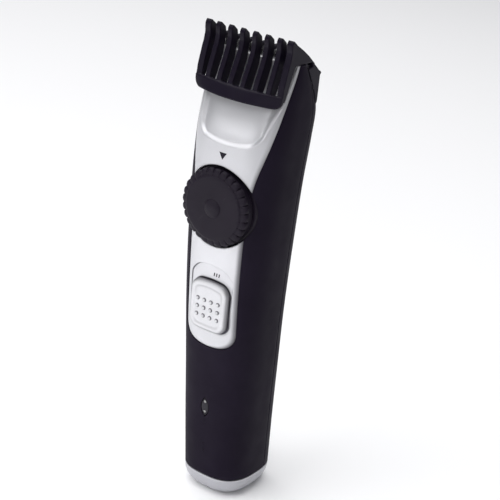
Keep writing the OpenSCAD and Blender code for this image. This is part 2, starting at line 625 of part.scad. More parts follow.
// The bar across the front, with rounded lower corners
bar_corner = 2.8;
bar_x = [0, 3, 6, 9, 12, 14, 16.1, 16.8, 17.5, 18.1, 18.6, comb_edge];
function bar_low(x) = let(d = max(abs(x) - comb_edge + bar_corner, 0))
  bar_z[0] + bar_corner - sqrt(max(pow(bar_corner, 2) - d * d, 0));
function bar_front(x, z) = let(u = (z - bar_z[0]) / (bar_z[1] - bar_z[0]))
  -17.05 - bow(x) * (bar_bow[0] + (bar_bow[1] * 1.06 - bar_bow[0]) * u);
function bar_ring(x) = let(z0 = bar_low(x), z1 = bar_z[1], f0 = bar_front(x, z0),
    f1 = bar_front(x, z1))
  [[x, f0 + 0.5, z0], [x, f0, z0 + 0.4], [x, f1, z1], [x, f1 + 0.5, z1 + 0.3],
    [x, f1 + bar_t, z1], [x, f0 + bar_t, z0 + 0.4]];
module bar() cup_loft([for (i = [1 - len(bar_x):len(bar_x) - 1])
  bar_ring(sign(i) * bar_x[abs(i)])]);
bridge = [[-0.5, 175.83], [5.3, 170.7], [6.3, 171.72], [0.8, 176.45]];
leg_x = [9, 10.5, 12, 13.4, 14.6, 15.6, 16.5, 17.2, 17.8, 18.4, comb_edge];
leg_clear = 0.38;
leg_rows = 8;
function back_y(z, x) = outer_pt(z, edge_angle(z, x))[1];
function leg_back(x) = 8.3 - 3.6 * pow(clamp((x - 15.8) / 3.4, 0, 1), 2);
// Lowest height at which the leg clears the shoulder of the housing
function leg_low(x) = min([for (z = [158.5:0.25:172])
  if (back_y(z, x) + leg_clear < leg_back(x) - 0.7) z]);
function leg_ring(x) = let(low = leg_low(x), y = leg_back(x)) [
  for (i = [0:leg_rows]) let(z = step(low, 174.5, leg_rows, i)) [x, back_y(z, x) + leg_clear, z],
  [x, 0.7, 175.1], [x, 1.2, 175.9], [x, 6.4, 171.7], [x, y, 171.8 - 1.1 * (y - 6.4)],
  [x, y, low + 1]];
tongue_x = [9.4, 11.4];
tongue_y = [3.6, 6.8];
module comb() color("#221d28") {
  teeth();
  bar();
  x_plate(-10, 10) polygon(bridge);
  for (m = [0, 1]) mirror([m, 0, 0]) {
    cup_loft([for (x = leg_x) leg_ring(x)]);
    difference() {
      block(tongue_x[0], tongue_x[1], tongue_y[0], tongue_y[1], 138, 171.5);
      block(tongue_x[1] - 0.25, 20, 3, 5, 140.8, 143.2);
    }
  }
}

// ---- Switch --------------------------------------------------------------------------

dot_pitch = [3.1, 3.19];
module switch_button() color("#d6d6dc") translate([0, 0, switch_z]) {
  y_plate(button_y, pocket_floor_y - 0.15) round_rect(button_w, button_h, 3.6);
  for (i = [0:3], j = [0:2])
    y_rod(0.55, button_y - 0.3, button_y + 0.1, (i - 1.5) * dot_pitch[0],
      (j - 1) * dot_pitch[1] - 0.4, $fn = 16);
}
slider_y = [-17.2, -16.2];
module switch_slider() color("#3a3a40") translate([0, 0, switch_z]) {
  block(-stem_w / 2, stem_w / 2, pocket_floor_y - 0.15, slider_y[0], -stem_h / 2, stem_h / 2);
  block(-5.5, 5.5, slider_y[0], slider_y[1], -6.5, 4);
}
module switch_wiper() color("#c9a254") for (x = [-1, 1])
  block(x * 3 - 0.8, x * 3 + 0.8, slider_y[1], board_y[0] - 0.9, switch_z - 4, switch_z - 3.2);
module switch_contacts() color("#c9a254") for (x = [-1, 1], z = [-5.4, 0.6])
  block(x * 3 - 1.2, x * 3 + 1.2, board_y[0] - 0.8, board_y[0], switch_z + z,
    switch_z + z + 3.6);

front_housing();
rear_housing();
upper_panel();
lower_panel();
end_cap();
cap_gasket();
led_lens();
status_led();
circuit_board();
charge_controller();
charging_socket();
battery();
battery_contacts();
inner_chassis();
housing_screws();
motor_can();
motor_end_bell();
motor_magnets();
motor_mount();
motor_mount_screws();
motor_leads();
blade_carrier();
fixed_blade();
blade_screws();
blade_spring();
dial_seat();
detent_spring();
switch_contacts();
zoom_dial();
dial_cap();
dial_screw();
pinion();
comb_carriage();
comb();
switch_button();
switch_slider();
switch_wiper();
motor_shaft();
motor_armature();
eccentric();
moving_blade();
blade_yoke();
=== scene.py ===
"""Looks of the hair clipper: satin silver front, black shells, lobed dial, guide comb."""

import json
import math

import bmesh
import bpy
import numpy as np
from mathutils import Matrix, Vector


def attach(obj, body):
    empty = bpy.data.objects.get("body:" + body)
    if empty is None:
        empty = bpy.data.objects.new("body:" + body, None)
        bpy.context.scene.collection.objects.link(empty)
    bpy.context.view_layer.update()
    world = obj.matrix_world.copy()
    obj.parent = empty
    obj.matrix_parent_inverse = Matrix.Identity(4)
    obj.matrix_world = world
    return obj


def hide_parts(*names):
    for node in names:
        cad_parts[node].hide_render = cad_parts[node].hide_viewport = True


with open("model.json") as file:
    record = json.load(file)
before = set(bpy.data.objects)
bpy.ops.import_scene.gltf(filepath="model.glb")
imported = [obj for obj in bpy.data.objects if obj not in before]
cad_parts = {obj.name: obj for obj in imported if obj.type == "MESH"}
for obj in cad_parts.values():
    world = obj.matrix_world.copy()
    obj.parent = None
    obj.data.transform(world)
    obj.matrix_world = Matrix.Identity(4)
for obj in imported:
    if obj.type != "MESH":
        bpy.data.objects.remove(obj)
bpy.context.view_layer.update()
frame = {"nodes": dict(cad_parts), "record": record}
MM = 0.001


def shown(name, data):
    """A new object in the scene."""
    thing = bpy.data.objects.new(name, data)
    bpy.context.scene.collection.objects.link(thing)
    return thing


# ---- Camera, light and floor -----------------------------------------------------------

CAMERA_PLACE = (271.394, -398.100, 300.522)
CAMERA_RIGHT = (0.799846, 0.592462, 0.096099)
CAMERA_UP = (-0.301512, 0.258177, 0.917843)


def camera():
    """The photograph's view: 100 mm lens on a 36 mm sensor, no shift."""
    data = bpy.data.cameras.new("camera")
    data.lens, data.sensor_width = 100.01, 36
    data.clip_start, data.clip_end = 0.01, 20
    cam = shown("camera", data)
    right, up = Vector(CAMERA_RIGHT), Vector(CAMERA_UP)
    back = right.cross(up)
    place = Matrix((right, up, back)).transposed().to_4x4()
    place.translation = Vector(CAMERA_PLACE) * MM
    cam.matrix_world = place
    bpy.context.scene.camera = cam


def area_light(name, place, target, size, power, colour=(1, 1, 1)):
    """A soft rectangular light at place, aimed at target; both in metres."""
    data = bpy.data.lights.new(name, "AREA")
    data.shape, data.size, data.size_y = "RECTANGLE", size[0], size[1]
    data.energy, data.color = power, colour
    light = shown(name, data)
    light.location = place
    aim = Vector(target) - Vector(place)
    light.rotation_euler = aim.to_track_quat("-Z", "Y").to_euler()


def studio():
    """Soft light from overhead, with a key, a weak rim and one on the floor in front."""
    world = bpy.data.worlds.new("studio")
    bpy.context.scene.world = world
    world.use_nodes = True
    sky = world.node_tree.nodes["Background"].inputs
    sky["Color"].default_value = (0.95, 0.96, 1, 1)
    sky["Strength"].default_value = 0.18
    area_light("key", (0.62, -1.05, 0.8), (0, 0, 0.1), (0.5, 0.5), 3.0)
    area_light("overhead", (-0.3, -0.05, 1.5), (0, 0.05, 0), (2.0, 2.0), 33)
    area_light("front_low", (-0.14, -0.32, 0.2), (-0.14, -0.32, 0), (0.3, 0.3), 1.0)
    area_light("rim", (0.75, 0.7, 0.35), (0, 0, 0.12), (0.25, 0.8), 0.5)
    bpy.context.scene.view_settings.view_transform = "Standard"


def floor():
    """A plain pale floor that reaches past the view."""
    grid = bmesh.new()
    bmesh.ops.create_grid(grid, x_segments=8, y_segments=8, size=3)
    mesh = bpy.data.meshes.new("floor")
    grid.to_mesh(mesh)
    grid.free()
    plane = shown("floor", mesh)
    mat = bpy.data.materials.new("floor_paint")
    mat.use_nodes = True
    shader = mat.node_tree.nodes["Principled BSDF"]
    shader.inputs["Base Color"].default_value = (0.9, 0.9, 0.91, 1)
    shader.inputs["Roughness"].default_value = 0.8
    mesh.materials.append(mat)


# ---- Materials -------------------------------------------------------------------------

# Colours of painted shade: dark gaps, shaded rims and shaded walls painted into the silver,
# button and lens finishes.
PAINTED_SHADE_COLOUR = (0.05, 0.047, 0.058)
LENS_PAINTED_SHADE_COLOUR = (0.004, 0.003, 0.006)


class Graph:
    """A material's node tree, with short ways to add and join nodes."""

    def __init__(self, name):
        self.mat = bpy.data.materials.new(name)
        self.mat.use_nodes = True
        self.tree = self.mat.node_tree
        self.shader = self.tree.nodes["Principled BSDF"]
        self.coords = self.add("ShaderNodeTexCoord").outputs["Object"]

    def add(self, kind, **settings):
        node = self.tree.nodes.new(kind)
        for key, value in settings.items():
            setattr(node, key, value)
        return node

    def join(self, source, target):
        self.tree.links.new(source, target)

    def noise(self, scale, detail=3.0, rough=0.55, stretch=(1, 1, 1)):
        """Noise of that many cells a metre."""
        mapping = self.add("ShaderNodeMapping")
        mapping.inputs["Scale"].default_value = stretch
        self.join(self.coords, mapping.inputs["Vector"])
        node = self.add("ShaderNodeTexNoise")
        node.inputs["Scale"].default_value = scale
        node.inputs["Detail"].default_value = detail
        node.inputs["Roughness"].default_value = rough
        self.join(mapping.outputs["Vector"], node.inputs["Vector"])
        return node.outputs["Fac"]

    def span(self, source, low, high, out_low, out_high):
        node = self.add("ShaderNodeMapRange")
        for key, value in zip(("From Min", "From Max", "To Min", "To Max"),
                              (low, high, out_low, out_high)):
            node.inputs[key].default_value = value
        self.join(source, node.inputs["Value"])
        return node.outputs["Result"]

    def times(self, a, b):
        node = self.add("ShaderNodeMath", operation="MULTIPLY")
        self.join(a, node.inputs[0])
        self.join(b, node.inputs[1])
        return node.outputs[0]

    def mix(self, factor, a, b):
        """Mixes colours a and b; each is a colour or an output."""
        node = self.add("ShaderNodeMix", data_type="RGBA")
        self.join(factor, node.inputs[0])
        for value, socket in ((a, node.inputs[6]), (b, node.inputs[7])):
            if isinstance(value, tuple):
                socket.default_value = value + (1,)
            else:
                self.join(value, socket)
        return node.outputs[2]

    def worn(self, colour, edge, amount):
        """Lightens convex edges, broken up by noise."""
        ridge = self.span(self.add("ShaderNodeNewGeometry").outputs["Pointiness"],
                          0.52, 0.62, 0, amount)
        patches = self.span(self.noise(260, 4), 0.42, 0.62, 0, 1)
        return self.mix(self.times(ridge, patches), colour, edge)

    def with_painted_shade(self, colour, deep):
        """Painted shade: goes towards the deep colour where a piece's painted shade values say
        so.
        """
        painted_shade = self.add("ShaderNodeAttribute", attribute_name="painted_shade")
        return self.mix(painted_shade.outputs["Fac"], colour, deep)

    def bumps(self, layers):
        """Adds (height output, strength, distance in mm) layers of bump."""
        normal = None
        for height, strength, distance in layers:
            node = self.add("ShaderNodeBump")
            node.inputs["Strength"].default_value = strength
            node.inputs["Distance"].default_value = distance * MM
            self.join(height, node.inputs["Height"])
            if normal is not None:
                self.join(normal, node.inputs["Normal"])
            normal = node.outputs["Normal"]
        self.join(normal, self.shader.inputs["Normal"])

    def set(self, **values):
        for key, value in values.items():
            self.shader.inputs[key.replace("_", " ")].default_value = value


def plastic(name, dark, light, edge, rough, grain=(2600, 0.18), specular=0.5, wear=0.35,
            coat=0.0):
    """Moulded plastic with a spark-eroded grain, faint mottling and rubbed edges."""
    g = Graph(name)
    mottle = g.span(g.noise(55, 4), 0.35, 0.7, 0, 1)
    g.join(g.worn(g.mix(mottle, dark, light), edge, wear), g.shader.inputs["Base Color"])
    g.join(g.span(g.noise(140, 3), 0.3, 0.7, rough[0], rough[1]), g.shader.inputs["Roughness"])
    g.bumps([(g.noise(grain[0], 2), grain[1], 0.05), (g.noise(90, 2), 0.06, 0.3)])
    g.set(Specular_IOR_Level=specular)
    if coat:
        g.set(Coat_Weight=coat, Coat_Roughness=0.2)
    return g.mat


def metal(name, dark, light, rough, metallic=1.0, stretch=(1, 1, 1), scale=900, bump=0.12):
    """Metal or metallic paint, brushed where stretch is long one way."""
    g = Graph(name)
    streaks = g.noise(scale, 4, 0.6, stretch)
    base = g.worn(g.mix(g.span(streaks, 0.3, 0.7, 0, 1), dark, light), (0.85, 0.85, 0.86), 0.3)
    # Painted shade: goes towards the shade colour where the piece carries painted shade
    # values.
    g.join(g.with_painted_shade(base, PAINTED_SHADE_COLOUR), g.shader.inputs["Base Color"])
    g.join(g.span(g.noise(160, 3), 0.3, 0.7, rough[0], rough[1]), g.shader.inputs["Roughness"])
    g.bumps([(streaks, bump, 0.03), (g.noise(80, 2), 0.04, 0.3)])
    g.set(Metallic=metallic)
    return g.mat


def satin_paint():
    """Satin silver paint with fine flake."""
    g = Graph("satin_silver_paint")
    flake = g.span(g.noise(9000, 1), 0.3, 0.7, 0, 1)
    cloud = g.span(g.noise(40, 3), 0.3, 0.7, 0, 1)
    base = g.mix(flake, (0.50, 0.50, 0.52), (0.60, 0.60, 0.625))
    soft = g.mix(cloud, (0.56, 0.56, 0.58), (0.59, 0.59, 0.615))
    half = g.add("ShaderNodeMix", data_type="RGBA")
    half.inputs[0].default_value = 0.6
    g.join(base, half.inputs[6])
    g.join(soft, half.inputs[7])
    # Painted shade: the paint goes towards the shade colour on the panels' darker rims and
    # round the button and the dial.
    paint = g.with_painted_shade(g.worn(half.outputs[2], (0.80, 0.80, 0.82), 0.5), PAINTED_SHADE_COLOUR)
    g.join(paint, g.shader.inputs["Base Color"])
    g.join(g.span(g.noise(120, 3), 0.3, 0.7, 0.36, 0.44), g.shader.inputs["Roughness"])
    g.bumps([(g.noise(7000, 1), 0.05, 0.02), (g.noise(70, 2), 0.03, 0.3)])
    g.set(Metallic=0.6, Specular_IOR_Level=0.3)
    return g.mat


def smoked_lens():
    """Dark glossy window of the charge light."""
    g = Graph("smoked_lens")
    base = g.mix(g.noise(300, 2), (0.022, 0.021, 0.026), (0.035, 0.033, 0.04))
    # Painted shade: the lens goes darker on its recessed rim.
    g.join(g.with_painted_shade(base, LENS_PAINTED_SHADE_COLOUR), g.shader.inputs["Base Color"])
    g.join(g.span(g.noise(200, 2), 0.3, 0.7, 0.10, 0.2), g.shader.inputs["Roughness"])
    g.bumps([(g.noise(500, 2), 0.05, 0.05)])
    g.set(IOR=1.2)
    return g.mat


def board_finish():
    """Solder mask with faint tracks."""
    g = Graph("board_finish")
    tracks = g.add("ShaderNodeTexBrick")
    tracks.inputs["Scale"].default_value = 260
    tracks.inputs["Mortar Size"].default_value = 0.03
    g.join(g.coords, tracks.inputs["Vector"])
    g.join(g.mix(tracks.outputs["Fac"], (0.015, 0.13, 0.05), (0.03, 0.22, 0.09)),
           g.shader.inputs["Base Color"])
    g.join(g.span(g.noise(300, 3), 0.3, 0.7, 0.25, 0.4), g.shader.inputs["Roughness"])
    g.bumps([(tracks.outputs["Fac"], 0.3, 0.04)])
    return g.mat


def windings():
    """Copper wire wound round the armature."""
    g = Graph("copper_windings")
    wave = g.add("ShaderNodeTexWave", bands_direction="Z")
    wave.inputs["Scale"].default_value = 700
    g.join(g.coords, wave.inputs["Vector"])
    g.join(g.mix(wave.outputs["Fac"], (0.28, 0.09, 0.03), (0.62, 0.25, 0.11)),
           g.shader.inputs["Base Color"])
    g.join(g.span(g.noise(300, 3), 0.3, 0.7, 0.25, 0.4), g.shader.inputs["Roughness"])
    g.bumps([(wave.outputs["Fac"], 0.7, 0.12)])
    g.set(Metallic=1.0)
    return g.mat


def finishes():
    """One material for each slot of the record."""
    return {
        "black_shell": plastic("soft_black_shell", (0.0085, 0.0058, 0.0130),
                               (0.0110, 0.0078, 0.0165), (0.03, 0.026, 0.036), (0.5, 0.6),
                               specular=0.06),
        "dial_black": plastic("dial_black", (0.0085, 0.0058, 0.0115), (0.0115, 0.0082, 0.0155),
                              (0.05, 0.045, 0.055), (0.42, 0.52), specular=0.12),
        "comb_black": plastic("comb_black", (0.006, 0.0038, 0.0105), (0.0085, 0.0058, 0.0140),
                              (0.035, 0.030, 0.04), (0.34, 0.44), (1500, 0.08), 0.12),
        "silver_panel": satin_paint(),
        "button_silver": metal("button_satin", (0.52, 0.52, 0.54), (0.60, 0.60, 0.62),
                               (0.34, 0.42), 0.5, scale=6000, bump=0.05),
        "cap_silver": metal("cap_satin", (0.42, 0.42, 0.45), (0.50, 0.50, 0.53),
                            (0.32, 0.42), 0.6, scale=5000, bump=0.05),
        "seal": plastic("seal_rubber", (0.008, 0.008, 0.009), (0.014, 0.014, 0.015),
                        (0.03, 0.03, 0.03), (0.65, 0.8)),
        "light_lens": smoked_lens(),
        "led_chip": plastic("led_resin", (0.2, 0.2, 0.2), (0.26, 0.26, 0.25), (0.4, 0.4, 0.38),
                            (0.15, 0.25)),
        "board": board_finish(),
        "chip": plastic("chip_epoxy", (0.012, 0.012, 0.013), (0.02, 0.02, 0.021),
                        (0.05, 0.05, 0.05), (0.5, 0.6)),
        "socket_plastic": plastic("socket_nylon", (0.01, 0.01, 0.011), (0.017, 0.017, 0.018),
                                  (0.04, 0.04, 0.04), (0.4, 0.5)),
        "cell_sleeve": plastic("cell_sleeve", (0.02, 0.13, 0.22), (0.03, 0.18, 0.29),
                               (0.2, 0.4, 0.5), (0.25, 0.35)),
        "contact_metal": metal("contact_brass", (0.62, 0.44, 0.16), (0.75, 0.56, 0.24),
                               (0.22, 0.36), stretch=(1, 1, 12)),
        "frame_plastic": plastic("chassis_abs", (0.06, 0.06, 0.065), (0.085, 0.085, 0.09),
                                 (0.15, 0.15, 0.15), (0.45, 0.6)),
        "screw_steel": metal("screw_zinc", (0.45, 0.45, 0.46), (0.6, 0.6, 0.6), (0.25, 0.4)),
        "motor_steel": metal("motor_steel", (0.5, 0.5, 0.51), (0.62, 0.62, 0.62), (0.2, 0.34),
                             stretch=(1, 1, 14)),
        "white_plastic": plastic("acetal_white", (0.66, 0.64, 0.56), (0.74, 0.72, 0.66),
                                 (0.8, 0.8, 0.76), (0.35, 0.45)),
        "magnet": plastic("ferrite", (0.02, 0.02, 0.022), (0.035, 0.035, 0.037),
                          (0.08, 0.08, 0.08), (0.45, 0.6)),
        "lead_sleeve": plastic("lead_sleeve", (0.35, 0.02, 0.02), (0.45, 0.03, 0.03),
                               (0.5, 0.1, 0.1), (0.35, 0.5)),
        # Steel colour partly the blades' own and partly painted shade: darkened because the
        # blades sit in shade behind the comb.
        "blade_steel": metal("blade_steel", (0.30, 0.30, 0.31), (0.42, 0.42, 0.43),
                             (0.14, 0.26), stretch=(1, 14, 14), scale=1400),
        "spring_steel": metal("spring_steel", (0.5, 0.5, 0.5), (0.65, 0.65, 0.64),
                              (0.2, 0.3)),
        "winding": windings(),
    }


# ---- Sections of the body, in millimetres, as the CAD has them -------------------------

SQUARE = 2.83
BODY_H = 176.5
STATIONS = [(8, 14.4, -16, 15.9), (30, 15.3, -17.8, 14), (55, 16.2, -19.8, 12.6),
            (80, 17.2, -21.8, 11.3), (105, 18.2, -22.9, 11.1), (130, 19, -22.9, 11.8),
            (148, 19.5, -21.7, 13.4), (158, 19.7, -19.5, 13.4), (165, 19.7, -16.2, 9.3),
            (171, 19.6, -12.7, 3.8), (BODY_H, 19.4, -9.8, -1.8)]
PANEL_LINE = [(75, 11.45), (90, 11.5), (105, 11.7), (118, 12), (128, 12.6), (135, 13.6),
              (142, 15.1), (148, 16.3), (156, 17.35), (165, 18), (172, 18.4), (BODY_H, 18.7)]
SCOOP_LOW = 145.2
SCOOP_LINE = [(SCOOP_LOW, 1.2, 12.4), (150, 1.5, 13.4), (161, 2.8, 16.4), (168, 2.2, 17.2),
              (BODY_H, 0.8, 17.5)]
PANEL_LOW, PANEL_END, PANEL_T = 66, 9, 1.6
SEAM_PART = 0.36
PANEL_LAP = 0.985  # the panels' undersides are this much narrower than their faces
DIAL_Z, DIAL_R, SEAT_R, SEAT_Y = 122.6, 14.6, 15.2, -19.9
HOLE_R = SEAT_R + 0.1
DIAL_FRONT = -25.6
SWITCH_Z, KEY_FRONT, KEY_CROWN, KEY_BEND, POCKET_FLOOR = 83.4, -23.4, 1.1, 0.35, -21.1
LIGHT_Z = 39.2
SHELL_FIT = 0.9995  # keeps the shells' sides inside the CAD's box


def curve(table, z, k):
    """Value k of a table at height z, on a smooth curve through its rows."""
    z = np.asarray(z, float)
    rows = np.array(table, float)
    i = np.clip(np.searchsorted(rows[:, 0], z, "right") - 1, 0, len(rows) - 2)
    lo, hi = np.maximum(np.arange(len(rows)) - 1, 0), np.minimum(np.arange(len(rows)) + 1,
                                                                len(rows) - 1)
    slope = (rows[hi, k] - rows[lo, k]) / (rows[hi, 0] - rows[lo, 0])
    h = rows[i + 1, 0] - rows[i, 0]
    t = np.clip((z - rows[i, 0]) / h, 0, 1)
    return ((2 * t**3 - 3 * t**2 + 1) * rows[i, k] + (t**3 - 2 * t**2 + t) * slope[i] * h
            + (3 * t**2 - 2 * t**3) * rows[i + 1, k] + (t**3 - t**2) * slope[i + 1] * h)


def power(v, e):
    """The size of v to the power e, with the sign of v."""
    return np.sign(v) * np.abs(v) ** e


def section(w, f, b, t):
    """Points of a section at angles t, in degrees: 0 is +X and -90 the front."""
    t = np.radians(t)
    return (w * power(np.cos(t), 2 / SQUARE),
            (f + b) / 2 + (b - f) / 2 * power(np.sin(t), 2 / SQUARE))


def outer(z, t):
    """The body's outer surface at height z and angles t."""
    return section(curve(STATIONS, z, 1), curve(STATIONS, z, 2), curve(STATIONS, z, 3), t)


def edge_angle(z, x):
    """Angle of the section's point at x."""
    part = np.clip(np.abs(x) / curve(STATIONS, z, 1), 0, 1)
    return np.degrees(np.arccos(part ** (SQUARE / 2)))


def face_y(z, x):
    """The outer surface in front, at x from the middle plane."""
    return outer(z, -edge_angle(z, x))[1]


def back_y(z, x):
    """The outer surface behind, at x from the middle plane."""
    return outer(z, edge_angle(z, x))[1]


def panel_w(z):
    """Half the width of the silver front, with its rounded lower end."""
    z = np.asarray(z, float)
    d = np.clip((PANEL_LOW + PANEL_END - z) / PANEL_END, 0, 1)
    return curve(PANEL_LINE, np.maximum(z, 75), 1) * np.maximum(1 - d**2.6, 0) ** (1 / 2.6)


def smooth(v, lo, hi):
    """0 below lo, 1 above hi, and an S curve between."""
    t = np.clip((v - lo) / (hi - lo), 0, 1)
    return t * t * (3 - 2 * t)


def rounded_box(qx, qz, r):
    """Distance outside a box with corners of radius r, from its corner centres."""
    out = np.hypot(np.maximum(qx, 0), np.maximum(qz, 0))
    return out + np.minimum(np.maximum(qx, qz), 0) - r


def scoop_in(z, x):
    """How far a point is inside the rim of the hollow under the comb."""
    side = curve(SCOOP_LINE, z, 2) + 0.5 - np.abs(x)
    low = z - SCOOP_LOW - 0.4 - 1.9 * (np.abs(x) / 13) ** 2
    r = 4  # of the rim's lower corners
    corner = r - np.hypot(np.maximum(r - side, 0), np.maximum(r - low, 0))
    return np.where((side < r) & (low < r), corner, np.minimum(side, low))


def scoop_d(z, x):
    """Depth of the hollow: a bevel, then a floor."""
    deep = curve(SCOOP_LINE, z, 1)
    e = scoop_in(z, x)
    slope, roundness = 0.78, 0.05
    s = np.clip(e / (deep / slope), 0, 1)
    ease = s - roundness * np.sin(2 * np.pi * s)
    return np.where(e > 0, deep * ease, 0)


# ---- Meshes ----------------------------------------------------------------------------

FINISH = {}


def add_piece(name, points, faces, slot, body, node=None, sharp=40.0, painted_shade=None):
    """A new piece from points in millimetres; the last argument gives how far its finish is
    darkened at each point, as painted shade.
    """
    mesh = bpy.data.meshes.new(name)
    mesh.from_pydata((np.asarray(points, float) * MM).tolist(), [], faces)
    mesh.validate()
    # The painted shade values are kept as a point attribute that the finishes read.
    if painted_shade is not None:
        layer = mesh.attributes.new("painted_shade", "FLOAT", "POINT")
        layer.data.foreach_set("value", np.asarray(painted_shade, np.float32).ravel())
    piece = shown(name, mesh)
    tidy_mesh(piece, sharp)
    return dress(piece, slot, body, node)


def tidy_mesh(piece, sharp):
    """Merges doubled points, turns faces outward and shades smooth up to an angle."""
    bm = bmesh.new()
    bm.from_mesh(piece.data)
    bmesh.ops.remove_doubles(bm, verts=bm.verts, dist=1e-6)
    bmesh.ops.recalc_face_normals(bm, faces=bm.faces)
    bm.to_mesh(piece.data)
    bm.free()
    piece.data.polygons.foreach_set("use_smooth", [True] * len(piece.data.polygons))
    piece.data.set_sharp_from_angle(angle=math.radians(sharp))


def dress(piece, slot, body, node=None):
    """Gives a piece its finish and its body, and hides the CAD node it stands for."""
    piece.data.materials.clear()
    piece.data.materials.append(FINISH[slot])
    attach(piece, body)
    if node:
        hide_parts(node)
    return piece


def grid_faces(rows, cols, wrap_cols=False, wrap_rows=False, base=0):
    """Quads between rows of cols points."""
    out = []
    for i in range(rows if wrap_rows else rows - 1):
        for j in range(cols if wrap_cols else cols - 1):
            a, b = base + i * cols + j, base + i * cols + (j + 1) % cols
            k = (i + 1) % rows
            out.append((a, b, base + k * cols + (j + 1) % cols, base + k * cols + j))
    return out


def loft(rings):
    """Points and faces of rings joined in turn, with the first and last filled in."""
    n, total = len(rings[0]), len(rings) * len(rings[0])
    faces = grid_faces(len(rings), n, wrap_cols=True)
    return np.concatenate(rings), faces + [tuple(range(n)), tuple(range(total - n, total))]


def lathe(profile, steps=96, radius=None, centre=(0, 0)):
    """A shape turned about Y, from (radius, y) pairs; centre is its x and z."""
    rings = []
    angles = np.linspace(0, 2 * np.pi, steps, endpoint=False)
    for r, y in profile:
        rr = radius(r, y, angles) if radius else np.full(steps, r)
        a, b = centre[0] + rr * np.cos(angles), centre[1] + rr * np.sin(angles)
        rings.append(np.stack((a, np.full(steps, y), b), 1))
    return loft(rings)


def together(parts):
    """One list of points and one of faces from several (points, faces)."""
    points, faces = [], []
    for p, f in parts:
        faces += [tuple(k + len(points) for k in face) for face in f]
        points += p.tolist()
    return points, faces


def slab(top, back):
    """A closed plate from two grids of points with the same rows and columns."""
    rows, cols = top.shape[:2]
    n = rows * cols
    points = np.concatenate((top.reshape(-1, 3), back.reshape(-1, 3)))
    faces = grid_faces(rows, cols) + [tuple(reversed(f)) for f in
                                      grid_faces(rows, cols, base=n)]
    rim = ([(0, j) for j in range(cols)] + [(i, cols - 1) for i in range(1, rows)]
           + [(rows - 1, j) for j in range(cols - 2, -1, -1)]
           + [(i, 0) for i in range(rows - 2, 0, -1)])
    for k, (i, j) in enumerate(rim):
        p, q = rim[(k + 1) % len(rim)]
        faces.append((i * cols + j, p * cols + q, n + p * cols + q, n + i * cols + j))
    return points, faces


def rounded(points, corners, radius, steps=4):
    """The open path with its corners (by index) turned into short arcs."""
    out = []
    for i, p in enumerate(points):
        if i not in corners:
            out.append(p)
            continue
        a, b = points[i - 1] - p, points[i + 1] - p
        la, lb = np.linalg.norm(a), np.linalg.norm(b)
        ra, rb = min(radius, la * 0.45), min(radius, lb * 0.45)
        a, b = p + a / max(la, 1e-9) * ra, p + b / max(lb, 1e-9) * rb
        for s in np.linspace(0, 1, steps):
            out.append((1 - s) ** 2 * a + 2 * s * (1 - s) * p + s * s * b)
    return out


def evaluated(piece, name):
    """A new mesh of the piece with its modifiers applied."""
    bpy.context.view_layer.update()
    seen = piece.evaluated_get(bpy.context.evaluated_depsgraph_get())
    mesh = bpy.data.meshes.new_from_object(seen)
    mesh.name = name
    return mesh


def cut(piece, cutters, sharp=40.0):
    """Takes the cutters away from the piece and deletes them."""
    for cutter in cutters:
        tool = piece.modifiers.new("cut", "BOOLEAN")
        tool.operation, tool.object, tool.solver = "DIFFERENCE", cutter, "MANIFOLD"
    mesh = evaluated(piece, piece.data.name)
    piece.modifiers.clear()
    piece.data = mesh
    for cutter in cutters:
        bpy.data.objects.remove(cutter)
    tidy_mesh(piece, sharp)


def cutter(points, faces):
    """A passing object for cut() to take away."""
    mesh = bpy.data.meshes.new("cutter")
    mesh.from_pydata((np.asarray(points, float) * MM).tolist(), [], faces)
    piece = shown("cutter", mesh)
    tidy_mesh(piece, 40)
    return piece


def box(x0, x1, y0, y1, z0, z1):
    points = [(x, y, z) for x in (x0, x1) for y in (y0, y1) for z in (z0, z1)]
    faces = [(0, 1, 3, 2), (4, 6, 7, 5), (0, 4, 5, 1), (2, 3, 7, 6), (0, 2, 6, 4),
             (1, 5, 7, 3)]
    return points, faces


# ---- Shells ----------------------------------------------------------------------------

CAP_H = 8.2
EDGE_R = 0.32  # of the shells' rounded edges
SEAM_GAP = 0.32  # degrees from the seam to each shell
FRONT_POINTS, REAR_POINTS = (30, 34, 30), 72  # round a ring of each shell


def shell_heights():
    """Heights of a shell's rings, closer where the front's outline turns."""
    low = np.arange(CAP_H + 0.5, PANEL_LOW - 0.4, 1.6)
    end = PANEL_LOW + PANEL_END * (1 - np.cos(np.linspace(0, np.pi / 2, 26)))
    return np.concatenate((low, [PANEL_LOW - 0.3, PANEL_LOW - 0.05], end,
                           np.arange(76, SCOOP_LOW - 0.6, 1.2),
                           np.arange(SCOOP_LOW, BODY_H - 0.3, 0.7), [BODY_H]))


def wall(z):
    """Thickness of the shells, thinner near the top."""
    return 2.2 - 1.0 * np.clip((z - 150) / 20, 0, 1)


def inner(z, t):
    """The shells' inner surface, set back behind the panel and the hollow."""
    under = np.clip((z - PANEL_LOW + 6) / 6, 0, 1) * PANEL_T
    if z >= SCOOP_LOW:
        under += curve(SCOOP_LINE, z, 1) * np.clip((z - SCOOP_LOW) / 4, 0, 1)
    return section(curve(STATIONS, z, 1) - wall(z), curve(STATIONS, z, 2) + wall(z) + under,
                   curve(STATIONS, z, 3) - wall(z), t)


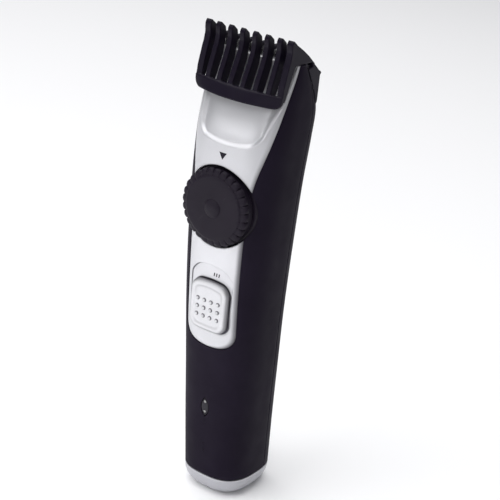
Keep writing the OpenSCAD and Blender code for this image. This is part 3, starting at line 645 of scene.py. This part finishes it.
def shell_ring(z, angles, edge, corner):
    """One ring of a shell: out along angles, back along the inside. Between the angles
    edge it is set back for the panel; corner says which points bound that part."""
    x, y = outer(z, angles)
    x = x * SHELL_FIT
    if edge is not None:
        mid = (angles < -edge - 1e-6) & (angles > -180 + edge + 1e-6)
        deep = PANEL_T + 0.1 if z >= PANEL_LOW else 0
        deep = deep + (scoop_d(z, x) if z > SCOOP_LOW else 0)
        y = np.where(mid, y + deep, y)
    ix, iy = inner(z, angles)
    out = [np.array(p) for p in zip(x, y)]
    back = [np.array(p) for p in zip(ix, iy)][::-1]
    path = [back[-1]] + out + [back[0]]
    marks = [1, len(out)]
    if edge is not None:
        marks += [1 + i for i in corner]
    path = rounded(path, marks, EDGE_R)
    return np.array([(p[0], p[1], z) for p in path + back[1:-1]])


def shell(name, node, front):
    """The front or rear shell, open at both ends, with its walls' ends closed."""
    seam = math.degrees(math.asin(SEAM_PART ** (SQUARE / 2)))
    near, face, off = FRONT_POINTS
    rings = []
    for z in shell_heights():
        if front:
            edge = float(edge_angle(z, max(float(panel_w(z)), 0.5)))
            side = np.linspace(seam - SEAM_GAP, -edge, near)
            mid = np.linspace(-edge - 0.6, -179.4 + edge, face)
            far = np.linspace(-180 + edge, -180 - seam + SEAM_GAP, off)
            rings.append(shell_ring(z, np.concatenate((side, mid, far)), edge,
                                    [near - 1, near + face]))
        else:
            rings.append(shell_ring(z, np.linspace(180 - seam - SEAM_GAP, seam + SEAM_GAP,
                                                   REAR_POINTS), None, []))
    n = len(rings[0])
    faces = grid_faces(len(rings), n, wrap_cols=True)
    faces += strip_cap(0, n, front) + strip_cap(n * (len(rings) - 1), n, front)
    return add_piece(name, np.concatenate(rings), faces, "black_shell", "handle", node)


def strip_cap(base, n, front):
    """Closes a C-shaped end: pairs the outer path with the inner one."""
    inner_n = (sum(FRONT_POINTS) if front else REAR_POINTS) - 2
    outer_n = n - inner_n
    outs = list(range(base, base + outer_n))
    ins = list(range(base + outer_n, base + n))[::-1]
    faces = []
    i = j = 0
    while i < outer_n - 1 or j < inner_n - 1:
        if j >= inner_n - 1 or (i < outer_n - 1 and (i + 1) / outer_n <= (j + 1) / inner_n):
            faces.append((outs[i], outs[i + 1], ins[j]))
            i += 1
        else:
            faces.append((outs[i], ins[j + 1], ins[j]))
            j += 1
    return faces


def almond(z_mid, half_h, half_w, n=64):
    """Pointed oval, as (x, z) points."""
    r = (half_h**2 + half_w**2) / (2 * half_w)
    a = math.asin(half_h / r)
    t = np.linspace(-a, a, n // 2 + 1)[:-1]
    right = np.stack((r * np.cos(t) - (r - half_w), r * np.sin(t)), 1)
    both = np.concatenate((right, -right))
    return both + (0, z_mid)


def front_shell():
    """Front shell, with holes for the light and the dial and a notch for the blades."""
    piece = shell("front_shell", "front_housing", True)
    window = loft([[(x, y, z) for x, z in almond(LIGHT_Z, 4.35, 2.0)] for y in (-40, -10)])
    seat = lathe([(HOLE_R, -40), (HOLE_R, -17.5)], centre=(0, DIAL_Z), steps=128)
    cut(piece, [cutter(*window), cutter(*seat),
                cutter(*box(-16.5, 16.5, -40, -5, 161, BODY_H + 2))])


def rear_shell():
    """Rear shell, with slots for the comb's tongues and two sunk screw holes."""
    piece = shell("rear_shell", "rear_housing", False)
    tools = [cutter(*box(s * 9.2, s * 11.6, 3.4, 7, 158, BODY_H + 2))
             for s in (-1, 1)]
    for z in (17, 82):
        depth = float(curve(STATIONS, z, 3)) - 1.2
        tools.append(cutter(*lathe([(2.6, depth), (2.6, depth + 8)], centre=(0, z),
                                   steps=64)))
    cut(piece, tools)


# ---- Silver front ----------------------------------------------------------------------


def columns(count=150):
    """Places from -1 to 1, close together near both ends."""
    edge = np.array([0, 0.004, 0.008, 0.014, 0.021, 0.03, 0.042, 0.058])
    inside = np.linspace(edge[-1], 2 - edge[-1], count)[1:-1] - 1
    return np.concatenate((edge - 1, inside, 1 - edge[::-1]))


def rim_drop(d, r=0.42):
    """How far a rounded edge has fallen at distance d from it."""
    d = np.clip(d, 0, r)
    return r - np.sqrt(np.maximum(r * r - (r - d) ** 2, 0))


def panel_grid(z_low, z_high, rows):
    """Grid of x and z over the panel; z_low and z_high are functions of x."""
    u = columns()
    z0, z1 = np.full_like(u, 100.0), np.full_like(u, 100.0)
    for _ in range(12):
        z0, z1 = z_low(u * panel_w(z0)), z_high(u * panel_w(z1))
    v = rows[:, None]
    z = z0[None, :] * (1 - v) + z1[None, :] * v
    return u[None, :] * panel_w(z), z


def hole_z(x, sign):
    """Height of the dial's hole in the panels, above (1) or below (-1) its centre."""
    return DIAL_Z + sign * np.sqrt(np.maximum(HOLE_R * HOLE_R - x * x, 0.2))


def row_places(count):
    """Places from 0 to 1, close together near both ends."""
    ends = np.array([0, 1, 2.2, 3.6, 5.5, 8, 12]) * 0.0015
    return np.concatenate((ends, np.linspace(ends[-1], 1 - ends[-1], count)[1:-1],
                           1 - ends[::-1]))


def pocket_d(x, z):
    """Depth of the pocket that the switch button slides in."""
    low, high, half, r = 72.5, 99.8, 9.45, 4.6
    cz, hz = (low + high) / 2, (high - low) / 2
    crown = 0.028 * x * x * smooth(z, cz, high)
    dist = rounded_box(np.abs(x) - (half - r), np.abs(z + crown - cz) - (hz - r), r)
    return smooth(-dist, -0.12, 0.34)


def key_gap(x, z):
    """Distance outside the button's outline, at rest."""
    half, high, r = 8.3, 9.4, 3.7
    crown = KEY_CROWN * (1 - np.minimum(np.abs(x) / half, 1) ** 2) * (z > SWITCH_Z)
    return rounded_box(np.abs(x - 0.15) - (half - r),
                       np.abs(z - crown - SWITCH_Z + 0.6) - (high - r), r)


def pocket_floor(x, z):
    """The pocket's floor, curved a fifth as much as the panel."""
    return POCKET_FLOOR + (face_y(z, x) - face_y(z, np.zeros_like(x))) * 0.2


def lower_fascia():
    """Silver front below the dial, with the switch's pocket."""
    x, z = panel_grid(lambda x: np.full_like(x, PANEL_LOW + 0.04),
                      lambda x: hole_z(x, -1), row_places(230))
    w = panel_w(z)
    lean = np.gradient(w, axis=0) / np.gradient(z, axis=0)
    edge = (w - np.abs(x)) / np.sqrt(1 + np.clip(lean, 0, 30) ** 2)
    hole = np.hypot(x, z - DIAL_Z) - HOLE_R
    y = face_y(z, x)
    deep = pocket_d(x, z)
    y = y * (1 - deep) + np.maximum(pocket_floor(x, z), y + 0.2) * deep
    y = y + rim_drop(edge) * 0.6 + rim_drop(edge, 1.5) * 0.4 + rim_drop(hole, 0.3)
    # Painted shade: a darker rim towards the right and bottom, a dark gap round the button, a
    # dark line down the pocket's left wall and a dark ring round the dial's hole.
    painted_shade = 0.8 * (1 - smooth(edge, 0.3, 2.2)) * smooth(x, -9, 4)
    painted_shade = np.maximum(painted_shade, deep * (1 - smooth(key_gap(x, z), 0.3, 0.8)))
    left_wall_painted_shade = 4 * deep * (1 - deep) * (x < -4) * smooth(z, 76, 84)
    painted_shade = np.maximum(painted_shade, 0.8 * left_wall_painted_shade)
    painted_shade = np.maximum(painted_shade, 0.35 * (1 - smooth(hole, 0, 0.8)))
    top = np.stack((x, y, z), 2)
    under = np.stack((x * PANEL_LAP, np.maximum(face_y(z, x) + PANEL_T, y + 0.4), z), 2)
    return add_piece("lower_fascia", *slab(top, under), "silver_panel", "handle",
                     "lower_panel", 60, np.concatenate((painted_shade.ravel(), painted_shade.ravel())))


def upper_fascia():
    """Silver front above the dial, with the hollow under the comb."""
    x, z = panel_grid(lambda x: hole_z(x, 1), lambda x: np.full_like(x, BODY_H),
                      row_places(210))
    w = panel_w(z)
    hole = np.hypot(x, z - DIAL_Z) - HOLE_R
    y = face_y(z, x) + scoop_d(z, x) + rim_drop(w - np.abs(x)) + rim_drop(hole, 0.3)
    y = y + rim_drop(BODY_H - z, 0.4)
    # Painted shade: a darker rim on the right, fading upwards, and a dark ring round the
    # dial's hole.
    painted_shade = (0.6 * (1 - smooth(w - np.abs(x), 0.2, 1.5)) * smooth(x, -4, 4)
            * (1 - 0.7 * smooth(z, 134, 156)))
    painted_shade = np.maximum(painted_shade, 0.35 * (1 - smooth(hole, 0, 0.8)))
    top = np.stack((x, y, z), 2)
    under_y = np.minimum(y + PANEL_T, np.where((np.abs(x) < 16.5) & (z > 158), -7.3, 99))
    under = np.stack((x * PANEL_LAP, np.maximum(under_y, y + 0.35), z), 2)
    return add_piece("upper_fascia", *slab(top, under), "silver_panel", "handle",
                     "upper_panel", 60, np.concatenate((painted_shade.ravel(), painted_shade.ravel())))


# ---- Dial ------------------------------------------------------------------------------

LOBES = 28


def lobe_wave(angles):
    """1 at the crown of a lobe and 0 in the groove between two."""
    return np.abs(np.cos(LOBES / 2 * angles)) ** 0.45


def dial_knob():
    """Flat face, lobed rim in front, smooth band behind."""
    front, depth = DIAL_FRONT, 0.95

    def radius(r, y, angles):
        part = smooth(np.array(r), 11.9, 13.0) * (1 - smooth(np.array(y), -23.3, -22.7))
        return r - depth * part * (1 - lobe_wave(angles))

    profile = [(0.5, front), (5, front), (9.5, front), (11.3, front), (11.8, front + 0.06),
               (12.1, front + 0.22), (12.4, front + 0.42), (12.8, front + 0.5),
               (13.3, front + 0.56), (13.8, front + 0.7), (14.2, front + 0.95),
               (14.45, front + 1.3), (DIAL_R, front + 1.8), (DIAL_R, front + 2.2),
               (14.55, front + 2.5), (14.35, front + 2.75), (14.1, front + 2.85),
               (14.0, front + 3.0), (14.0, -21.0), (14.0, -20.3), (13.85, -20.08),
               (13.5, -20.02), (6, -20.02)]
    points, faces = lathe(profile, steps=LOBES * 16, radius=radius, centre=(0, DIAL_Z))
    return add_piece("dial_knob", points, faces, "dial_black", "dial", "zoom_dial", 50)


def dial_dome():
    """Low dome in the middle of the dial."""
    a = np.linspace(0, np.pi / 2, 10)
    profile = [(3.5 * math.sin(t) + 0.05, DIAL_FRONT + 0.15 - 0.95 * math.cos(t)) for t in a]
    profile += [(3.7, DIAL_FRONT + 0.12), (3.75, DIAL_FRONT + 0.35)]
    points, faces = lathe(profile, steps=72, centre=(0, DIAL_Z))
    return add_piece("dial_dome", points, faces, "dial_black", "dial", "dial_cap", 60)


def dial_base():
    """Bearing ring that the dial turns on."""
    profile = [(3, SEAT_Y), (14.6, SEAT_Y), (14.95, SEAT_Y + 0.08), (15.15, SEAT_Y + 0.3),
               (SEAT_R, SEAT_Y + 0.6), (SEAT_R, -17.6), (6.4, -17.5), (6.4, -15)]
    points, faces = lathe(profile, steps=128, centre=(0, DIAL_Z))
    return add_piece("dial_base_ring", points, faces, "dial_black", "handle", "dial_seat", 50)


# ---- Switch ----------------------------------------------------------------------------


def key_outline(inset, n=200):
    """Outline of the button, as (x, z) about its middle; convex above."""
    half, top, bottom = 8.4 - inset, 9.9 - inset, -10.0 + inset
    out = []
    r_top, r_low = max(3.2 - inset * 0.7, 0.8), max(4.2 - inset * 0.7, 0.8)
    for cx, cz, r, a0 in ((half - r_top, top - r_top - KEY_CROWN, r_top, 0),
                          (-half + r_top, top - r_top - KEY_CROWN, r_top, 90),
                          (-half + r_low, bottom + r_low, r_low, 180),
                          (half - r_low, bottom + r_low, r_low, 270)):
        for t in np.radians(np.linspace(a0, a0 + 90, 17)):
            out.append((cx + r * math.cos(t), cz + r * math.sin(t)))
    out = np.array(out + [out[0]])
    step = np.concatenate(([0], np.cumsum(np.hypot(*np.diff(out, axis=0).T))))
    s = np.linspace(0, step[-1], n, endpoint=False)
    ring = np.stack((np.interp(s, step, out[:, 0]), np.interp(s, step, out[:, 1])), 1)
    ring[:, 1] += KEY_CROWN * (1 - (ring[:, 0] / half) ** 2) * smooth(ring[:, 1], 0, top - 1.2)
    return ring


def key_bend(x):
    """How far the button's face falls back at x."""
    return KEY_BEND * (x / 8.1) ** 2


def switch_key():
    """Stepped border round a shallow scooped face, with painted shade on its walls and in the
    groove under its top lip.
    """
    front = KEY_FRONT
    # Inset, y and painted shade of each ring, from the foot of the wall to the middle of the
    # face
    steps = [(0, -21.5, 0.95), (0, front + 1.1, 0.7), (0.06, front + 0.8, 0.6),
             (0.2, front + 0.55, 0.55), (0.4, front + 0.34, 0.5), (0.6, front + 0.2, 0.25),
             (0.85, front + 0.08, 0.08), (1.15, front + 0.02, 0), (1.5, front, 0),
             (1.9, front + 0.04, 0), (2.2, front + 0.16, 0.16), (2.5, front + 0.27, 0.22),
             (2.9, front + 0.32, 0.08), (3.6, front + 0.33, 0), (4.6, front + 0.33, 0),
             (6.0, front + 0.34, 0), (7.0, front + 0.35, 0)]
    rings, painted_shade = [], []
    for inset, y, dark in steps:
        ring = key_outline(inset)
        # The painted shade of the groove rings is kept to the upper part, under the lip.
        lip = smooth(ring[:, 1], 2, 5) if 2 < inset < 3 else 1
        painted_shade.append(np.full(len(ring), dark) * lip)
        rings.append(np.stack((ring[:, 0], y + key_bend(ring[:, 0]),
                               ring[:, 1] + SWITCH_Z), 1))
    add_piece("switch_key", *loft(rings), "button_silver", "switch", "switch_button", 60,
              np.concatenate(painted_shade))


def switch_dots():
    """Grip dots on the button's face, four across and three up."""
    dots, across, up, low = [], 3.1, 3.19, 1.2
    a = np.linspace(0.06, np.pi / 2, 8)
    for i in range(4):
        for j in range(3):
            x, z = (i - 1.5) * across, SWITCH_Z + (j - 1) * up - low
            base = KEY_FRONT + 0.3 + key_bend(x)
            profile = [(0.86 * math.sin(t), base + 0.1 - 0.6 * math.cos(t)) for t in a]
            profile.append((0.88, base + 0.3))
            dots.append(lathe(profile, steps=28, centre=(x, z)))
    points, faces = together(dots)
    at = np.asarray(points)
    # Distance of each point from its own dot's middle
    dx, dz = (at[:, 0] + 1.5 * across) % across, (at[:, 2] - SWITCH_Z + up + low) % up
    turn = np.hypot(dx - across * (dx > across / 2), dz - up * (dz > up / 2))
    # Painted shade: each dot goes darker towards its rim.
    add_piece("switch_dots", points, faces, "button_silver", "switch", None, 60,
              0.8 * smooth(turn, 0.35, 0.75))


# ---- Comb ------------------------------------------------------------------------------

TEETH, PITCH, TOOTH_T = 8, 5.275, 2
COMB_HALF = (TEETH - 1) / 2 * PITCH
COMB_EDGE, END_TOOTH_T, LEG_CLEAR = 18.9, 2.5, 0.38
BAR_Z, BAR_BOW, BAR_T = (162.1, 166.4), (4.4, 2), 1.5
TOOTH_FRONT = [(-16.85, 165.5), (-16.4, 169.8), (-15.9, 172), (-15.35, 174.1), (-14.85, 176.2),
               (-14.2, 178.3), (-13.8, 180.4), (-13.7, 181.6), (-13.95, 183.2), (-14, 184.4),
               (-13.7, 185.2), (-13.2, 185.8), (-12.9, 185.9)]
SLOPE_TOP = [(-11, 184.45), (-10.5, 184.1)]
SHOULDER_TOP = [(-6.3, 181.65), (-2.8, 179.3), (1.3, 176.05)]
INNER_BACK = [(-9.9, 180.2), (-10.6, 174.3), (-12.1, 170.3), (-13.1, 167.6), (-14.5, 164.5)]
TOOTH_BACK = [(-11.4, 174.3), (-12.9, 170.3), (-13.8, 167.6), (-15, 164.5)]


def bow(x):
    """How far the bar bows at x: 1 in the middle, 0 at its ends."""
    return 1 - min(abs(x) / COMB_EDGE, 1) ** 2


def front_edge(x):
    """A tooth's front, from the bar to its tip, as (y, z) points."""
    return [(y - BAR_BOW[1] * bow(x) * min(max((178 - z) / 12, 0), 1.2) ** 1.5, z)
            for y, z in TOOTH_FRONT]


def inner_tooth(x):
    """A blade in front and a low rib back over the cutting blades."""
    step = [(-10.15, 182.9), (-9.9, 181.9), (-9.3, 181.65)]
    below = [(0.3, 175.2), (-3.1, 177.9), (-4.6, 179.4), (-5.1, 180.45), (-8.6, 180.45)]
    return front_edge(x) + SLOPE_TOP + step + SHOULDER_TOP + below + INNER_BACK


def end_tooth(x):
    """Solid down to the top of the housing."""
    below = [(0.35, 175.25), (-0.3, BODY_H + 0.2), (-10.3, BODY_H + 0.2),
             (-10.8, BODY_H - 0.3)]
    return front_edge(x) + SLOPE_TOP + SHOULDER_TOP + below + TOOTH_BACK


def plate(profile, x0, x1):
    """Points and faces of a y-z outline between two x planes."""
    n = len(profile)
    points = [(x, y, z) for x in (x0, x1) for y, z in profile]
    faces = [(k, (k + 1) % n, n + (k + 1) % n, n + k) for k in range(n)]
    return points, faces + [tuple(range(n)), tuple(range(2 * n - 1, n - 1, -1))]


def bar_face(x, z):
    """The bar's front surface."""
    u = (z - BAR_Z[0]) / (BAR_Z[1] - BAR_Z[0])
    return -17.05 - bow(x) * (BAR_BOW[0] + (BAR_BOW[1] * 1.06 - BAR_BOW[0]) * u)


def comb_bar():
    """Bowed front bar with rounded lower corners."""
    rings, corner = [], 2.8
    for x in np.concatenate(([-COMB_EDGE, -COMB_EDGE + 0.15, -COMB_EDGE + 0.4],
                             np.linspace(0.7 - COMB_EDGE, COMB_EDGE - 0.7, 60),
                             [COMB_EDGE - 0.4, COMB_EDGE - 0.15, COMB_EDGE])):
        d = max(abs(x) - (COMB_EDGE - corner), 0)
        low = BAR_Z[0] + corner - math.sqrt(max(corner**2 - d**2, 0))
        high = BAR_Z[1] + 0.3
        t = np.linspace(0, 2 * np.pi, 40, endpoint=False)
        z = (low + high) / 2 + (high - low) / 2 * power(np.sin(t), 0.3)
        y = bar_face(x, z) + BAR_T / 2 + BAR_T / 2 * power(np.cos(t), 0.5)
        rings.append(np.stack((np.full_like(t, x), y, z), 1))
    return loft(rings)


def leg_ring(x):
    """Section of a leg at x: on the housing's shoulder, then up and back over it."""
    y = float(8.3 - 3.6 * np.clip((x - 15.8) / 3.4, 0, 1) ** 2)
    zs = np.arange(158.5, 172, 0.1)
    fits = zs[back_y(zs, x) + LEG_CLEAR < y - 0.7]
    low = float(fits.min())
    ring = [(x, float(back_y(z, x)) + LEG_CLEAR, z) for z in np.linspace(low, 174.5, 15)]
    return ring + [(x, 0.7, 175.1), (x, 1.2, 175.9), (x, 3.8, 173.8), (x, 6.4, 171.7),
                   (x, y, 171.8 - 1.1 * (y - 6.4)), (x, y, low + 1)]


def comb_leg(side):
    """One of the legs that reach behind the housing; side is 1 or -1."""
    places = np.concatenate((np.linspace(9, 16, 12), np.linspace(16.4, COMB_EDGE, 12)))
    return loft([np.array(leg_ring(x)) * (side, 1, 1) for x in places])


def guide_comb():
    """Tines, bar, bridge and legs moulded into one piece."""
    parts = [comb_bar(), comb_leg(1), comb_leg(-1),
             plate([(-0.5, 175.83), (5.3, 170.7), (6.3, 171.72), (0.8, 176.45)], -10, 10)]
    for i in range(1, TEETH - 1):
        x = i * PITCH - COMB_HALF
        parts.append(plate(inner_tooth(x), x - TOOTH_T / 2, x + TOOTH_T / 2))
    for s in (-1, 1):
        x = sorted((s * COMB_EDGE, s * (COMB_EDGE - END_TOOTH_T)))
        parts.append(plate(end_tooth(COMB_EDGE), x[0], x[1]))
        x = sorted((s * 9.4, s * 11.4))
        parts.append(box(x[0], x[1], 3.6, 6.8, 138, 171.5))
    joined = bmesh.new()
    for points, faces in parts:
        mesh = bpy.data.meshes.new("part")
        mesh.from_pydata((np.asarray(points, float) * MM).tolist(), [], faces)
        one = bmesh.new()
        one.from_mesh(mesh)
        bmesh.ops.recalc_face_normals(one, faces=one.faces)
        one.to_mesh(mesh)
        one.free()
        joined.from_mesh(mesh)
        bpy.data.meshes.remove(mesh)
    mesh = bpy.data.meshes.new("guide_comb")
    joined.to_mesh(mesh)
    joined.free()
    piece = shown("guide_comb", mesh)
    remesh = piece.modifiers.new("fuse", "REMESH")
    remesh.mode, remesh.voxel_size, remesh.adaptivity = "VOXEL", 0.2 * MM, 0.0
    soften = piece.modifiers.new("soften", "SMOOTH")
    soften.factor, soften.iterations = 0.5, 4
    fused = evaluated(piece, "guide_comb")
    piece.modifiers.clear()
    piece.data = fused
    piece.data.polygons.foreach_set("use_smooth", [True] * len(fused.polygons))
    dress(piece, "comb_black", "guide_comb", "comb")


# ---- Cap and light ---------------------------------------------------------------------


def cap_ring(z, k, inset=0.0, n=120):
    """Section of the cap, scaled by k towards the middle of the foot."""
    f, b = float(curve(STATIONS, 8, 2)) + inset, float(curve(STATIONS, 8, 3)) - inset
    c, r = (f + b) / 2, (b - f) / 2
    foot = c * (k - 0.5) / 0.5
    t = -np.linspace(0, 360, n, endpoint=False)
    x, y = section((float(curve(STATIONS, 8, 1)) - inset) * k, foot - r * k, foot + r * k, t)
    return np.stack((x, y, np.full(n, z)), 1)


def base_cap():
    """Domed end cap, hollow above, with the charging socket's hole in its foot."""
    n = 120
    t = -np.radians(np.linspace(0, 360, n, endpoint=False))

    def circle(r, z):
        return np.stack((r * np.cos(t), r * np.sin(t), np.full(n, z)), 1)

    def scale(u):
        return 0.5 + 0.5 * (1 - (1 - u) ** 2.2) ** (1 / 2.2)

    rings = [circle(4.1, 2.6), circle(4.1, 0.35), circle(4.25, 0.1), circle(4.5, 0)]
    for u in np.linspace(0, 1, 26):
        rings.append(cap_ring(CAP_H * u * u, scale(u * u)))
    rings += [cap_ring(CAP_H, 1, 0.25), cap_ring(CAP_H, 1, 1.6), cap_ring(4, 0.88, 1.6),
              cap_ring(2.6, 0.66, 1.6)]
    faces = grid_faces(len(rings), n, wrap_cols=True, wrap_rows=True)
    return add_piece("base_cap", np.concatenate(rings), faces, "cap_silver", "handle",
                     "end_cap", 40)


def light_lens():
    """Domed almond lens, flush with the shell, with painted shade on its recessed rim, and two
    small lighter pips in it as painted highlights.
    """
    rings = []
    for k, proud in ((1, 1.2), (1, 0.25), (0.96, 0.08), (0.88, 0), (0.7, -0.02), (0.4, -0.03)):
        ring = almond(LIGHT_Z, 4.15 * k, 1.85 * k)
        y = face_y(ring[:, 1], ring[:, 0]) + proud + 0.12
        rings.append(np.stack((ring[:, 0], y, ring[:, 1]), 1))
    # Painted shade: the outer rings of the lens are painted darker.
    painted_shade = np.repeat([1, 1, 1, 0.7, 0, 0], len(rings[0]))
    add_piece("light_lens_dome", *loft(rings), "light_lens", "handle", "led_lens", 60, painted_shade)
    # Painted highlights: two light pips at the top and bottom of the lens, where it shows
    # glints.
    pips = []
    for z in (LIGHT_Z - 2.0, LIGHT_Z + 2.4):
        y = float(face_y(z, 0)) - 0.02
        pips.append(lathe([(0.05, y), (0.35, y + 0.02), (0.5, y + 0.08), (0.52, y + 0.2)],
                          steps=24, centre=(0, z)))
    add_piece("lens_highlight_pips", *together(pips), "led_chip", "handle", None, 60)


# ---- Marks -----------------------------------------------------------------------------


def ink_patch(points, outline_faces):
    """Flat printed mark lying on the silver front."""
    points = np.asarray(points, float)
    y = face_y(points[:, 1], points[:, 0])
    top = np.stack((points[:, 0], y - 0.03, points[:, 1]), 1)
    low = np.stack((points[:, 0], y + 0.1, points[:, 1]), 1)
    n = len(points)
    faces = list(outline_faces) + [tuple(n + i for i in reversed(f)) for f in outline_faces]
    edges = [(a, face[(i + 1) % len(face)]) for face in outline_faces
             for i, a in enumerate(face)]
    faces += [(a, b, n + b, n + a) for a, b in edges if (b, a) not in edges]
    return np.concatenate((top, low)), faces


def marks():
    """A pointer above the dial and three plain strokes above the switch."""
    pointer = ink_patch([(-1.55, 142.95), (1.75, 142.95), (0.1, 140.35)], [(0, 1, 2)])
    add_piece("pointer_mark", *pointer, "dial_black", "handle", None, 30)
    strokes, outlines = [], []
    for x in (0.2, 1.3, 2.4):
        outlines.append(tuple(range(len(strokes), len(strokes) + 4)))
        strokes += [(x, 95.1), (x + 0.45, 95.1), (x + 0.6, 96.5), (x + 0.15, 96.5)]
    pts, faces = ink_patch(strokes, outlines)
    lift = pts[:, 1] - face_y(pts[:, 2], pts[:, 0])
    pts[:, 1] = pocket_floor(pts[:, 0], pts[:, 2]) + lift
    add_piece("switch_mark", pts, faces, "dial_black", "handle", None, 30)


def dress_frame():
    """Every CAD node that still shows gets its slot's finish and slightly eased edges."""
    for part in frame["record"]["subparts"]:
        node = frame["nodes"][part["node"]]
        node.data.materials.clear()
        node.data.materials.append(FINISH[part["material_slot"]])
        weld = node.modifiers.new("weld", "WELD")
        weld.merge_threshold = 0.001 * MM
        ease = node.modifiers.new("ease", "BEVEL")
        ease.width, ease.segments, ease.limit_method = 0.12 * MM, 2, "ANGLE"
        ease.angle_limit = math.radians(38)
        ease.harden_normals = False


def main():
    FINISH.update(finishes())
    camera()
    studio()
    floor()
    dress_frame()
    front_shell()
    rear_shell()
    lower_fascia()
    upper_fascia()
    dial_knob()
    dial_dome()
    dial_base()
    switch_key()
    switch_dots()
    guide_comb()
    base_cap()
    light_lens()
    marks()


main()
